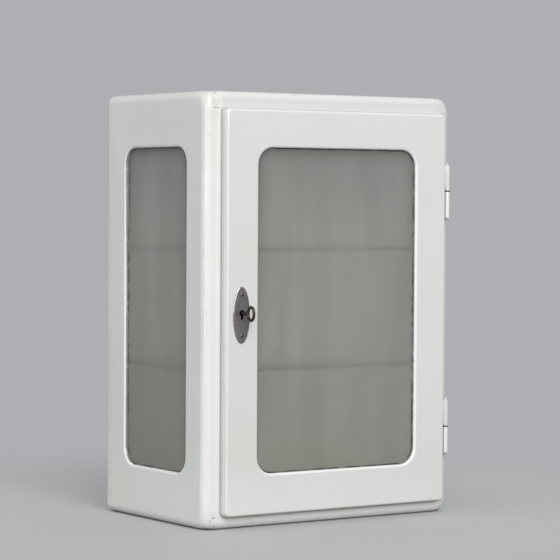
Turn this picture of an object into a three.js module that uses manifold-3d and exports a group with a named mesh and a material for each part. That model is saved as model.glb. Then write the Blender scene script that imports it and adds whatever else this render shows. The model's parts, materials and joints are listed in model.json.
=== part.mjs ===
// A glass door medical cabinet: a case of painted sheet steel with frosted panes in its door and sides,
// two glass shelves, lift-off hinges on the right of the door and a key-turned latch on its left.
// Millimetres, +Z up, the door facing -Y. The origin is the middle of the underside.
import * as THREE from 'three';
import { RoundedBoxGeometry } from 'three/addons/geometries/RoundedBoxGeometry.js';
import { mergeVertices } from 'three/addons/utils/BufferGeometryUtils.js';
import Module from 'manifold-3d';

const wasm = await Module();
wasm.setup();

// Case
const CASE_WIDTH = 420;
const CASE_DEPTH = 266;
const CASE_HEIGHT = 600;
const SHEET = 1.2;
const CASE_EDGE_RADIUS = 12;
const SEAM = 0.3;
const BACK_FOLD_RADIUS = 2.5;
const BACK_RIM = 12;

// Front frame of the case, around the door
const LOCK_STILE_SHOWING = 26;
const HINGE_STILE_SHOWING = 17;
const TOP_RAIL_SHOWING = 23;
const BOTTOM_RAIL_SHOWING = 17;
const DOOR_OVERLAP = 10;
const RETURN_DEPTH = 10;

// Door
const DOOR_DEPTH = 14;
const DOOR_EDGE_RADIUS = 4;
const DOOR_FACE_CORNER = 4;
const DOOR_LOCK_STILE = 53;
const DOOR_HINGE_STILE = 55;
const DOOR_TOP_RAIL = 53.5;
const DOOR_BOTTOM_RAIL = 58;
const DOOR_GAP = 0.3;

// Windows and panes
const SIDE_FRONT_STILE = 50;
const SIDE_BACK_STILE = 54;
const SIDE_TOP_RAIL = 76;
const SIDE_BOTTOM_RAIL = 74;
const WINDOW_CORNER = 24;
const LIP_DEPTH = 5;
const LIP_RADIUS = 4;
const PANE_THICKNESS = 3;
const PANE_LAP = 6;
const RETAINER_THICKNESS = 2;
const RETAINER_WIDTH = 13;
const RETAINER_INSET = 0.6;
const STUD_RADIUS = 1.5;
const STUD_END = 0.6;
const NUT_THICKNESS = 2.4;
const NUT_WALL = 1.5;

// Shelves
const LOWER_SHELF_HEIGHT = 220;
const SHELF_SPACING = 166;
const SHELF_THICKNESS = 6;
const SHELF_CORNER = 6;
const SHELF_SETBACK = 16;
const SHELF_SIDE_GAP = 2.5;
const SHELF_BACK_GAP = 4;
const BRACKET_WIDTH = 16;
const BRACKET_DROP = 16;
const BRACKET_BEARING = 12;
const BRACKET_SHEET = 2;
const BRACKET_MARGIN = 3.5;

// Hinges
const HINGE_LENGTH = 83;
const HINGE_SPACING = 340;
const HINGE_DROP = 1.5;
const BARREL_RADIUS = 3.3;
const BARREL_DOME = 2.6;
const HINGE_WASHER = 1.6;
const HINGE_WASHER_RIM = 0.3;
const HINGE_PIN_RADIUS = 2;
const HINGE_PIN_LENGTH = 54;
const HINGE_REACH = 4.5;
const HINGE_SETBACK = 4;
const LEAF_SHEET = 2;
const LEAF_END = 3;
const CASE_LEAF_FOOT = 5;

// Escutcheon
const KEY_BACKSET = 24.5;
const ESCUTCHEON_WIDTH = 27;
const ESCUTCHEON_HEIGHT = 78;
const ESCUTCHEON_THICKNESS = 2;
const ESCUTCHEON_BEVEL = 1;
const ESCUTCHEON_DROP = 2.5;
const ESCUTCHEON_SCREW_SPACING = 56;
const SCREW_RADIUS = 1.6;
const SCREW_HEAD_RADIUS = 2.8;
const SCREW_HEAD = 1.1;
const SCREW_GRIP = 8;
const SCREW_SLOT = 0.8;

// Key
const KEY_SHAFT_RADIUS = 2.5;
const KEY_COLLAR_RADIUS = 3.4;
const KEY_COLLAR = 3;
const KEYHOLE_PLAY = 1.7;
const BIT_REACH = 8;
const BIT_WIDTH = 7;
const BIT_THICKNESS = 2.4;
const BIT_DEPTH = 3.5;
const KEY_PILOT = 2;
const BOW_RADIUS = 9;
const BOW_WIRE_RADIUS = 2.2;
const BOW_SQUEEZE = 0.8;
const BOW_STANDOFF = 24.1;

// Lock
const HUB_WALL = 1.5;
const LOCK_CASE_WALL = 1.2;
const LOCK_CASE_REAR = 2;
const LOCK_FLANGE = 5;
const LOCK_FLANGE_END = 6;
const HUB_SQUARE = 7;
const HUB_THREAD_RADIUS = 3.3;
const TONGUE_CLEARANCE = 1;
const TONGUE_THICKNESS = 3;
const TONGUE_WIDTH = 14;
const TONGUE_CATCH = 11;
const SPRING_WASHER = 1.2;
const SPRING_WASHER_RIM = 3;
const LATCH_NUT = 4;
const LATCH_NUT_WALL = 2.4;

// Clearances between pieces that run in each other and pieces that only seat on each other
const RUNNING = 0.3;
const SEAT = 0.1;

// Facets and the overlap that welds two shapes into one solid
const CORNER_STEPS = 5;
const FOLD_STEPS = 3;
const ROUND_SIDES = 16;
const SMALL_SIDES = 8;
const HEXAGON = 6;
const WELD = 0.5;
const MERGE_TOLERANCE = 1e-3;
const PAST = 5;

// Places that follow from the sizes above
const frontY = -CASE_DEPTH / 2;
const backY = CASE_DEPTH / 2;
const sideX = CASE_WIDTH / 2;
const doorLeft = -sideX + LOCK_STILE_SHOWING;
const doorRight = sideX - HINGE_STILE_SHOWING;
const doorLow = BOTTOM_RAIL_SHOWING;
const doorHigh = CASE_HEIGHT - TOP_RAIL_SHOWING;
const doorMiddle = (doorLow + doorHigh) / 2;
const doorFaceY = frontY - DOOR_DEPTH;
const openingLeft = doorLeft + DOOR_OVERLAP;
const openingRight = doorRight - DOOR_OVERLAP;
const openingLow = doorLow + DOOR_OVERLAP;
const openingHigh = doorHigh - DOOR_OVERLAP;
const paneOuter = -LIP_DEPTH - SEAT;
const paneInner = paneOuter - PANE_THICKNESS;
const retainerOuter = paneInner - SEAT;
const retainerInner = retainerOuter - RETAINER_THICKNESS;
const nutOuter = retainerInner - SEAT;
const nutInner = nutOuter - NUT_THICKNESS;
const studTip = nutInner - STUD_END;
const studOffset = PANE_LAP + RUNNING + STUD_RADIUS;
const hingeX = doorRight + HINGE_REACH;
const hingeY = doorFaceY + HINGE_SETBACK;
const keyX = doorLeft + KEY_BACKSET;
const keyZ = doorMiddle;
const skinInsideY = doorFaceY + SHEET;
const doorWindowLeft = doorLeft + DOOR_LOCK_STILE;
const doorWindowRight = doorRight - DOOR_HINGE_STILE;
const doorWindowLow = doorLow + DOOR_BOTTOM_RAIL;
const doorWindowHigh = doorHigh - DOOR_TOP_RAIL;
const sideWindowFront = frontY + SIDE_FRONT_STILE;
const sideWindowBack = backY - SIDE_BACK_STILE;

// Face frames: x to the right and y up as seen from outside, z out of the face
const X = new THREE.Vector3(1, 0, 0);
const Y = new THREE.Vector3(0, 1, 0);
const Z = new THREE.Vector3(0, 0, 1);
const doorFace = faceFrame(X, Y.clone().negate(), new THREE.Vector3(0, doorFaceY, 0));
const leftFace = faceFrame(Y.clone().negate(), X.clone().negate(), new THREE.Vector3(-sideX, 0, 0));
const rightFace = faceFrame(Y, X, new THREE.Vector3(sideX, 0, 0));
const backFace = faceFrame(X.clone().negate(), Y, new THREE.Vector3(0, backY, 0));

function faceFrame(right, out, origin) {
  return new THREE.Matrix4().makeBasis(right, Z, out).setPosition(origin);
}

// Solids from three.js geometry: shared corners merged, and triangles that merging emptied left out
function solid(geometry) {
  const plain = geometry.clone();
  plain.deleteAttribute('normal');
  plain.deleteAttribute('uv');
  const merged = mergeVertices(plain, MERGE_TOLERANCE);
  const index = merged.index.array;
  const corners = [];
  for (let first = 0; first < index.length; first += 3) {
    const [a, b, c] = index.slice(first, first + 3);
    if (a !== b && b !== c && c !== a) {
      corners.push(a, b, c);
    }
  }
  const vertProperties = new Float32Array(merged.attributes.position.array);
  const triVerts = new Uint32Array(corners);
  return new wasm.Manifold(new wasm.Mesh({ numProp: 3, vertProperties, triVerts }));
}

function geometryOf(shape) {
  const { vertProperties, triVerts } = shape.getMesh();
  const geometry = new THREE.BufferGeometry();
  geometry.setAttribute('position', new THREE.Float32BufferAttribute(vertProperties, 3));
  geometry.setIndex(new THREE.Uint32BufferAttribute(triVerts, 1));
  geometry.computeVertexNormals();
  return geometry;
}

function join(first, ...others) {
  return others.reduce((whole, other) => whole.add(other), first);
}

function cut(first, ...others) {
  return others.reduce((whole, other) => whole.subtract(other), first);
}

// Basic shapes
function block(low, high) {
  const size = high.map((value, axis) => value - low[axis]);
  const middle = high.map((value, axis) => (value + low[axis]) / 2);
  return solid(new THREE.BoxGeometry(...size).translate(...middle));
}

function rodAlongZ(radius, x, y, low, high, sides = ROUND_SIDES) {
  const rod = new THREE.CylinderGeometry(radius, radius, high - low, sides).rotateX(Math.PI / 2);
  return rod.translate(x, y, (low + high) / 2);
}

function rodAlongY(radius, x, z, low, high, sides = ROUND_SIDES) {
  const rod = new THREE.CylinderGeometry(radius, radius, high - low, sides);
  return solid(rod.translate(x, (low + high) / 2, z));
}

// A rounded rectangle as corner centres and outward directions, so that it can be drawn at any offset
function roundedOutline(width, height, radius) {
  const stations = [];
  for (let corner = 0; corner < 4; corner += 1) {
    const signX = corner === 0 || corner === 3 ? 1 : -1;
    const signY = corner < 2 ? 1 : -1;
    const centre = new THREE.Vector2(signX * (width / 2 - radius), signY * (height / 2 - radius));
    for (let step = 0; step <= CORNER_STEPS; step += 1) {
      const angle = (corner + step / CORNER_STEPS) * (Math.PI / 2);
      const outward = new THREE.Vector2(Math.cos(angle), Math.sin(angle));
      stations.push({ centre, outward });
    }
  }
  return { stations, radius };
}

function outlinePoints(outline, offset) {
  return outline.stations.map(({ centre, outward }) => (
    centre.clone().addScaledVector(outward, outline.radius + offset)
  ));
}

// A flat sheet between two heights, with an optional hole
function sheet(points, holePoints, low, high) {
  const shape = new THREE.Shape(points);
  if (holePoints) {
    shape.holes.push(new THREE.Path(holePoints));
  }
  const geometry = new THREE.ExtrudeGeometry(shape, { depth: high - low, bevelEnabled: false });
  return geometry.translate(0, 0, low);
}

// A section carried round an outline: each section point is an offset out of the outline and a height
function sweptRing(outline, section) {
  const rings = section.map(([offset, height]) => (
    outlinePoints(outline, offset).map((point) => new THREE.Vector3(point.x, point.y, height))
  ));
  const around = outline.stations.length;
  const corners = [];
  const index = [];
  for (let side = 0; side < section.length; side += 1) {
    corners.push(...rings[side]);
    const next = (side + 1) % section.length;
    for (let step = 0; step < around; step += 1) {
      const after = (step + 1) % around;
      const a = side * around + step;
      const b = side * around + after;
      const c = next * around + after;
      const d = next * around + step;
      index.push(a, b, c, a, c, d);
    }
  }
  const geometry = new THREE.BufferGeometry().setFromPoints(corners);
  geometry.setIndex(index);
  return geometry;
}

// Points of a quarter bend in a section, from one angle to another in quarter turns
function bend(centreOffset, centreHeight, radius, fromQuarter, toQuarter) {
  const points = [];
  for (let step = 0; step <= FOLD_STEPS; step += 1) {
    const quarters = fromQuarter + ((toQuarter - fromQuarter) * step) / FOLD_STEPS;
    const angle = quarters * (Math.PI / 2);
    points.push([centreOffset + radius * Math.cos(angle), centreHeight + radius * Math.sin(angle)]);
  }
  return points;
}

// Rim of a pan: the sheet turns back from the face through a bend of the given outer radius
function rimSection(radius, depth) {
  return [
    [radius, -depth],
    ...bend(0, -radius, radius, 0, 1),
    [-WELD, 0],
    [-WELD, -SHEET],
    ...bend(0, -radius, radius - SHEET, 1, 0),
    [radius - SHEET, -depth],
  ];
}

// Lip of a window: the sheet turns inwards round the opening
function lipSection() {
  return [
    [SHEET, -LIP_DEPTH],
    ...bend(LIP_RADIUS, -LIP_RADIUS, LIP_RADIUS - SHEET, 2, 1),
    [LIP_RADIUS + WELD, -SHEET],
    [LIP_RADIUS + WELD, 0],
    ...bend(LIP_RADIUS, -LIP_RADIUS, LIP_RADIUS, 1, 2),
    [0, -LIP_DEPTH],
  ];
}

// Everything that belongs to one window, placed with its middle at a point of a face
function windowSet(width, height, face, middle, studPlaces) {
  const place = face.clone().multiply(new THREE.Matrix4().makeTranslation(middle.x, middle.y, 0));
  const onFace = (geometry) => solid(geometry.applyMatrix4(place));
  const outline = roundedOutline(width, height, WINDOW_CORNER);
  const opening = outlinePoints(outline, LIP_RADIUS);
  const hole = onFace(sheet(opening, null, -SHEET - PAST, PAST));
  const lip = onFace(sweptRing(outline, lipSection()));
  const pane = onFace(sheet(outlinePoints(outline, PANE_LAP), null, paneInner, paneOuter));
  const retainerEdge = outlinePoints(outline, RETAINER_WIDTH);
  const retainerHole = outlinePoints(outline, RETAINER_INSET);
  let retainer = onFace(sheet(retainerEdge, retainerHole, retainerInner, retainerOuter));
  const studs = [];
  const nuts = [];
  for (const [x, y] of studPlaces) {
    const stud = rodAlongZ(STUD_RADIUS, x, y, studTip, -SHEET / 2, SMALL_SIDES);
    const studHole = rodAlongZ(STUD_RADIUS + RUNNING, x, y, studTip, 0, SMALL_SIDES);
    const hexagon = rodAlongZ(STUD_RADIUS + NUT_WALL + RUNNING, x, y, nutInner, nutOuter, HEXAGON);
    const clearance = onFace(studHole);
    studs.push(onFace(stud));
    nuts.push(cut(onFace(hexagon), clearance));
    retainer = cut(retainer, clearance);
  }
  return { hole, lip, pane, retainer, studs, nuts };
}

// Studs stand at the quarter heights of both uprights
function uprightStuds(width, height) {
  const x = width / 2 + studOffset;
  return [[-x, height / 4], [-x, -height / 4], [x, height / 4], [x, -height / 4]];
}

function railStuds(height) {
  const y = height / 2 + studOffset;
  return [[0, y], [0, -y]];
}

// Finishes, a new material for each piece
const finishes = {
  enamel: { color: 0xeceeea, roughness: 0.38, metalness: 0 },
  frosted: { color: 0x9aa096, roughness: 0.75, metalness: 0, transparent: true, opacity: 0.75 },
  shelfGlass: { color: 0x9fb5a8, roughness: 0.08, metalness: 0, transparent: true, opacity: 0.4 },
  steel: { color: 0x77797a, roughness: 0.42, metalness: 0.9 },
  zinc: { color: 0x9b9d9c, roughness: 0.5, metalness: 0.8 },
  iron: { color: 0x3d3733, roughness: 0.5, metalness: 0.8 },
};

const cabinet = new THREE.Group();
cabinet.name = 'medical_cabinet';
const pivots = new Map();

// A group whose origin is on an axis; what it carries is drawn in the cabinet's frame
function pivotGroup(name, parent, origin) {
  const group = new THREE.Group();
  group.name = name;
  const parentOrigin = pivots.get(parent) ?? new THREE.Vector3();
  group.position.subVectors(origin, parentOrigin);
  pivots.set(group, origin);
  parent.add(group);
  return group;
}

const caseGroup = pivotGroup('case', cabinet, new THREE.Vector3());
const doorGroup = pivotGroup('door', cabinet, new THREE.Vector3(hingeX, hingeY, doorMiddle));
const latchGroup = pivotGroup('latch', doorGroup, new THREE.Vector3(keyX, doorFaceY, keyZ));

function piece(group, name, shape, finish) {
  const mesh = new THREE.Mesh(geometryOf(shape), new THREE.MeshStandardMaterial(finishes[finish]));
  mesh.name = name;
  mesh.position.copy(pivots.get(group)).negate();
  group.add(mesh);
}

// Case shell: a rounded box, hollow and open at the back, parted into pans and sides
function roundedCase(inset) {
  const length = CASE_DEPTH + 2 * CASE_EDGE_RADIUS;
  const size = [CASE_WIDTH, length, CASE_HEIGHT].map((value) => value - 2 * inset);
  const geometry = new RoundedBoxGeometry(...size, FOLD_STEPS, CASE_EDGE_RADIUS - inset);
  return solid(geometry.translate(0, frontY + length / 2, CASE_HEIGHT / 2));
}

const past = [sideX + PAST, backY + PAST, CASE_HEIGHT + PAST];
const shell = roundedCase(0)
  .subtract(roundedCase(SHEET))
  .intersect(block([-past[0], frontY - PAST, -PAST], [past[0], backY, past[2]]));
const frontSheetY = frontY + SHEET + SEAM;

// Top and bottom pans: a skirt all round, reaching behind the door between the stiles
function makePan(name, seamLow, seamHigh, railLow, railHigh, returnLow) {
  const skirt = shell.intersect(block([-past[0], frontY - PAST, seamLow], [past[0], past[1], seamHigh]));
  const left = openingLeft + SEAM;
  const right = openingRight - SEAM;
  const rail = shell.intersect(block([left, frontY - PAST, railLow], [right, frontSheetY, railHigh]));
  const fold = block([left, frontY, returnLow], [right, frontY + RETURN_DEPTH, returnLow + SHEET]);
  piece(caseGroup, name, join(skirt, rail, fold), 'enamel');
}

const topSeam = doorHigh + SEAM / 2;
const bottomSeam = doorLow - SEAM / 2;
makePan('top_panel', topSeam, past[2], openingHigh, past[2], openingHigh);
makePan('bottom_panel', -PAST, bottomSeam, -PAST, openingLow, openingLow - SHEET);

// Sides: a wall with a window, a stile beside the door and the stile's fold into the case
const sideWindowWidth = sideWindowBack - sideWindowFront;
const sideWindowHeight = CASE_HEIGHT - SIDE_TOP_RAIL - SIDE_BOTTOM_RAIL;

function makeSide(name, sign, face, edge) {
  const outer = sign * past[0];
  const fold = edge + sign * SHEET;
  const [lowX, highX] = [Math.min(outer, edge), Math.max(outer, edge)];
  const [foldLow, foldHigh] = [Math.min(fold, edge), Math.max(fold, edge)];
  const part = block([lowX, frontY - PAST, bottomSeam + SEAM], [highX, past[1], topSeam - SEAM]);
  const stileFold = block([foldLow, frontY, openingLow], [foldHigh, frontY + RETURN_DEPTH, openingHigh]);
  const studPlaces = uprightStuds(sideWindowWidth, sideWindowHeight);
  const middle = {
    x: (sign * (sideWindowFront + sideWindowBack)) / 2,
    y: SIDE_BOTTOM_RAIL + sideWindowHeight / 2,
  };
  const window = windowSet(sideWindowWidth, sideWindowHeight, face, middle, studPlaces);
  const wall = cut(shell.intersect(part), window.hole);
  piece(caseGroup, `${name}_side_panel`, join(wall, stileFold, window.lip, ...window.studs), 'enamel');
  piece(caseGroup, `${name}_pane`, window.pane, 'frosted');
  piece(caseGroup, `${name}_pane_retainer`, window.retainer, 'enamel');
  window.nuts.forEach((nut, count) => piece(caseGroup, `${name}_pane_nut_${count + 1}`, nut, 'zinc'));
}

makeSide('left', -1, leftFace, openingLeft);
makeSide('right', 1, rightFace, openingRight);

// Back: a shallow pan that fits inside the shell, flush with its rear edge
const backInset = SHEET + SEAM + BACK_FOLD_RADIUS;
const backOutline = roundedOutline(
  CASE_WIDTH - 2 * backInset,
  CASE_HEIGHT - 2 * backInset,
  CASE_EDGE_RADIUS - backInset,
);
const backPlace = backFace.clone().multiply(new THREE.Matrix4().makeTranslation(0, CASE_HEIGHT / 2, 0));
const backSheet = solid(sheet(outlinePoints(backOutline, 0), null, -SHEET, 0).applyMatrix4(backPlace));
const backRimSection = rimSection(BACK_FOLD_RADIUS, BACK_RIM);
const backRim = solid(sweptRing(backOutline, backRimSection).applyMatrix4(backPlace));
piece(caseGroup, 'back_panel', join(backSheet, backRim), 'enamel');

// Shelves of plain glass, each on four brackets on the side walls beside the windows
const shelfX = sideX + studTip - SHELF_SIDE_GAP;
const shelfFront = frontY + SHELF_SETBACK;
const shelfBack = backY - SHEET - SHELF_BACK_GAP;
const bracketSetOff = RETAINER_WIDTH + BRACKET_MARGIN;
const bracketLows = [sideWindowFront - bracketSetOff - BRACKET_WIDTH, sideWindowBack + bracketSetOff];
const bracketWall = sideX - SHEET - SEAT;

function makeShelf(name, top) {
  const bottom = top - SHELF_THICKNESS;
  const outline = roundedOutline(2 * shelfX, shelfBack - shelfFront, SHELF_CORNER);
  const glass = sheet(outlinePoints(outline, 0), null, bottom, top);
  piece(caseGroup, name, solid(glass.translate(0, (shelfFront + shelfBack) / 2, 0)), 'shelfGlass');
  const seat = bottom - SEAT;
  let count = 0;
  for (const signX of [-1, 1]) {
    for (const low of bracketLows) {
      const across = [signX * bracketWall, signX * (shelfX - BRACKET_BEARING)].sort((a, b) => a - b);
      const wall = [signX * bracketWall, signX * (bracketWall - BRACKET_SHEET)].sort((a, b) => a - b);
      const high = low + BRACKET_WIDTH;
      const ledge = block([across[0], low, seat - BRACKET_SHEET], [across[1], high, seat]);
      const upright = block([wall[0], low, seat - BRACKET_DROP], [wall[1], high, seat]);
      count += 1;
      piece(caseGroup, `${name}_bracket_${count}`, join(ledge, upright), 'enamel');
    }
  }
}

makeShelf('upper_shelf', LOWER_SHELF_HEIGHT + SHELF_SPACING);
makeShelf('lower_shelf', LOWER_SHELF_HEIGHT);

// Hinges: a barrel with a blind bore on each leaf, a pin standing in the lower one, a washer between
function barrel(far, near, boreEnd) {
  const away = Math.sign(far - near);
  const section = [new THREE.Vector2(0, far)];
  for (let step = 1; step <= FOLD_STEPS; step += 1) {
    const angle = (step / FOLD_STEPS) * (Math.PI / 2);
    const drop = BARREL_DOME * (1 - Math.cos(angle));
    section.push(new THREE.Vector2(BARREL_RADIUS * Math.sin(angle), far - away * drop));
  }
  const bore = HINGE_PIN_RADIUS + RUNNING;
  section.push(new THREE.Vector2(BARREL_RADIUS, near));
  section.push(new THREE.Vector2(bore, near));
  section.push(new THREE.Vector2(bore, boreEnd));
  section.push(new THREE.Vector2(0, boreEnd));
  const upwards = away < 0 ? section : section.reverse();
  const turned = new THREE.LatheGeometry(upwards, ROUND_SIDES).rotateX(Math.PI / 2);
  return solid(turned.translate(hingeX, hingeY, 0));
}

function makeHinge(name, middle) {
  const split = HINGE_WASHER / 2;
  const bottom = middle - HINGE_LENGTH / 2;
  const top = middle + HINGE_LENGTH / 2;
  const pinLow = middle - HINGE_PIN_LENGTH / 2;
  const pinHigh = middle + HINGE_PIN_LENGTH / 2;
  const bore = HINGE_PIN_RADIUS + RUNNING;

  const caseLow = bottom + LEAF_END;
  const caseHigh = middle - split - LEAF_END;
  const footY = frontY - SEAT;
  const wingX = hingeX + LEAF_SHEET / 2;
  const web = block([wingX - LEAF_SHEET, hingeY, caseLow], [wingX, footY, caseHigh]);
  const foot = block([wingX - CASE_LEAF_FOOT, footY - LEAF_SHEET, caseLow], [wingX, footY, caseHigh]);
  const lowerBarrel = barrel(bottom, middle - split, pinLow - SEAT);
  const lowerBore = solid(rodAlongZ(bore, hingeX, hingeY, pinLow - SEAT, middle));
  const caseLeaf = join(lowerBarrel, cut(join(web, foot), lowerBore));
  piece(caseGroup, `${name}_hinge_case_leaf`, caseLeaf, 'enamel');

  const doorBottom = middle + split + LEAF_END;
  const doorTop = top - LEAF_END;
  const edgeX = doorRight + SEAT;
  const leafY = hingeY - LEAF_SHEET / 2;
  const arm = block([edgeX, leafY, doorBottom], [hingeX, leafY + LEAF_SHEET, doorTop]);
  const rim = frontY - DOOR_GAP;
  const plate = block([edgeX, leafY, doorBottom], [edgeX + LEAF_SHEET, rim, doorTop]);
  const upperBarrel = barrel(top, middle + split + SEAT, pinHigh + SEAT);
  const upperBore = solid(rodAlongZ(bore, hingeX, hingeY, middle, pinHigh + SEAT));
  const doorLeaf = join(upperBarrel, cut(join(arm, plate), upperBore));
  piece(doorGroup, `${name}_hinge_door_leaf`, doorLeaf, 'enamel');

  const pin = solid(rodAlongZ(HINGE_PIN_RADIUS, hingeX, hingeY, pinLow, pinHigh));
  piece(caseGroup, `${name}_hinge_pin`, pin, 'steel');
  const washerRadius = BARREL_RADIUS + HINGE_WASHER_RIM;
  const disc = solid(rodAlongZ(washerRadius, hingeX, hingeY, middle - split, middle + split));
  const eye = solid(rodAlongZ(bore, hingeX, hingeY, middle - HINGE_WASHER, middle + HINGE_WASHER));
  piece(caseGroup, `${name}_hinge_washer`, cut(disc, eye), 'steel');
}

makeHinge('upper', doorMiddle - HINGE_DROP + HINGE_SPACING / 2);
makeHinge('lower', doorMiddle - HINGE_DROP - HINGE_SPACING / 2);

// Keyhole: a round eye with a slot below it for the bit
function keyhole(play, low, high) {
  const eye = KEY_SHAFT_RADIUS + play;
  const half = BIT_THICKNESS / 2 + play / 2;
  const foot = -BIT_REACH - play / 2;
  const start = -Math.acos(half / eye);
  const shape = new THREE.Shape();
  shape.moveTo(half, foot);
  shape.absarc(0, 0, eye, start, Math.PI - start, false);
  shape.lineTo(-half, foot);
  shape.closePath();
  const options = { depth: high - low, bevelEnabled: false, curveSegments: ROUND_SIDES };
  const place = doorFace.clone().multiply(new THREE.Matrix4().makeTranslation(keyX, keyZ, low));
  return solid(new THREE.ExtrudeGeometry(shape, options).applyMatrix4(place));
}

// Door: a pan with a window, a keyhole and the holes of the escutcheon's screws
const screwMiddle = keyZ - ESCUTCHEON_DROP;
const screwHeights = {
  upper: screwMiddle + ESCUTCHEON_SCREW_SPACING / 2,
  lower: screwMiddle - ESCUTCHEON_SCREW_SPACING / 2,
};
const screwTipY = doorFaceY - ESCUTCHEON_THICKNESS + SCREW_GRIP;

function screwHole(height) {
  return rodAlongY(SCREW_RADIUS + RUNNING, keyX, height, doorFaceY - PAST, screwTipY + SEAT, SMALL_SIDES);
}

const screwHoles = Object.values(screwHeights).map(screwHole);
const doorWindowWidth = doorWindowRight - doorWindowLeft;
const doorWindowHeight = doorWindowHigh - doorWindowLow;
const doorWindowMiddle = {
  x: (doorWindowLeft + doorWindowRight) / 2,
  y: (doorWindowLow + doorWindowHigh) / 2,
};
const doorStuds = [
  ...uprightStuds(doorWindowWidth, doorWindowHeight),
  ...railStuds(doorWindowHeight),
];
const doorWindow = windowSet(doorWindowWidth, doorWindowHeight, doorFace, doorWindowMiddle, doorStuds);
const doorCentre = new THREE.Matrix4().makeTranslation((doorLeft + doorRight) / 2, doorMiddle, 0);
const doorPlace = doorFace.clone().multiply(doorCentre);
const doorOutline = roundedOutline(
  doorRight - doorLeft - 2 * DOOR_EDGE_RADIUS,
  doorHigh - doorLow - 2 * DOOR_EDGE_RADIUS,
  DOOR_FACE_CORNER,
);
const doorSheet = solid(sheet(outlinePoints(doorOutline, 0), null, -SHEET, 0).applyMatrix4(doorPlace));
const doorRimSection = rimSection(DOOR_EDGE_RADIUS, DOOR_DEPTH - DOOR_GAP);
const doorRim = solid(sweptRing(doorOutline, doorRimSection).applyMatrix4(doorPlace));
const doorKeyhole = keyhole(KEYHOLE_PLAY + RUNNING, -PAST, PAST);
const doorPan = cut(join(doorSheet, doorRim), doorWindow.hole, doorKeyhole, ...screwHoles);
piece(doorGroup, 'door_skin', join(doorPan, doorWindow.lip, ...doorWindow.studs), 'enamel');
piece(doorGroup, 'door_pane', doorWindow.pane, 'frosted');
piece(doorGroup, 'door_pane_retainer', doorWindow.retainer, 'enamel');
doorWindow.nuts.forEach((nut, count) => piece(doorGroup, `door_pane_nut_${count + 1}`, nut, 'zinc'));

// Escutcheon: an oval plate with a bevelled edge
const ovalShape = new THREE.Shape();
ovalShape.absellipse(
  0,
  0,
  ESCUTCHEON_WIDTH / 2 - ESCUTCHEON_BEVEL,
  ESCUTCHEON_HEIGHT / 2 - ESCUTCHEON_BEVEL,
  0,
  2 * Math.PI,
);
const ovalOptions = {
  depth: ESCUTCHEON_THICKNESS - SEAT - ESCUTCHEON_BEVEL,
  bevelSize: ESCUTCHEON_BEVEL,
  bevelThickness: ESCUTCHEON_BEVEL,
  bevelSegments: 1,
  curveSegments: ROUND_SIDES,
};
const ovalPlace = doorFace.clone().multiply(new THREE.Matrix4().makeTranslation(keyX, screwMiddle, SEAT));
const ovalFront = block(
  [keyX - ESCUTCHEON_WIDTH, doorFaceY - PAST, screwMiddle - ESCUTCHEON_HEIGHT],
  [keyX + ESCUTCHEON_WIDTH, doorFaceY - SEAT, screwMiddle + ESCUTCHEON_HEIGHT],
);
const oval = solid(new THREE.ExtrudeGeometry(ovalShape, ovalOptions).applyMatrix4(ovalPlace));
const ovalPlate = oval.intersect(ovalFront);
const escutcheon = cut(ovalPlate, keyhole(KEYHOLE_PLAY, -PAST, PAST), ...screwHoles);
piece(doorGroup, 'escutcheon', escutcheon, 'steel');

function makeScrew(name, height) {
  const seatY = doorFaceY - ESCUTCHEON_THICKNESS - SEAT;
  const headY = seatY - SCREW_HEAD;
  const head = rodAlongY(SCREW_HEAD_RADIUS, keyX, height, headY, seatY);
  const shank = rodAlongY(SCREW_RADIUS, keyX, height, seatY - SCREW_HEAD / 2, screwTipY, SMALL_SIDES);
  const slot = block(
    [keyX - SCREW_SLOT / 2, headY - PAST, height - SCREW_HEAD_RADIUS],
    [keyX + SCREW_SLOT / 2, headY + SCREW_HEAD / 2, height + SCREW_HEAD_RADIUS],
  );
  piece(doorGroup, name, cut(join(head, shank), slot), 'steel');
}

for (const [end, height] of Object.entries(screwHeights)) {
  makeScrew(`escutcheon_screw_${end}`, height);
}

// Lock: a case behind the door skin, clamped by the escutcheon's screws, with a hub that the key turns
const hubRadius = BIT_REACH + RUNNING + HUB_WALL;
const hubShaftRadius = HUB_SQUARE / Math.SQRT2;
const lockRadius = hubRadius + RUNNING + LOCK_CASE_WALL;
const tongueY = frontY + RETURN_DEPTH + TONGUE_CLEARANCE;
const lockRearY = tongueY - SPRING_WASHER - 2 * SEAT;
const lockFrontY = skinInsideY + SEAT;
const flangeHigh = screwHeights.upper + LOCK_FLANGE_END;
const flangeLow = screwHeights.lower - LOCK_FLANGE_END;
const lockFlange = block(
  [keyX - lockRadius, lockFrontY, flangeLow],
  [keyX + lockRadius, lockFrontY + LOCK_FLANGE, flangeHigh],
);
const lockBarrel = rodAlongY(lockRadius, keyX, keyZ, lockFrontY, lockRearY, 2 * ROUND_SIDES);
const chamberRearY = lockRearY - LOCK_CASE_REAR;
const hubChamber = rodAlongY(hubRadius + RUNNING, keyX, keyZ, lockFrontY - PAST, chamberRearY);
const hubWayOut = rodAlongY(hubShaftRadius + RUNNING, keyX, keyZ, lockFrontY, lockRearY + PAST);
const lockCase = cut(join(lockFlange, lockBarrel), hubChamber, hubWayOut, ...screwHoles);
piece(doorGroup, 'lock_case', lockCase, 'zinc');

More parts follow.
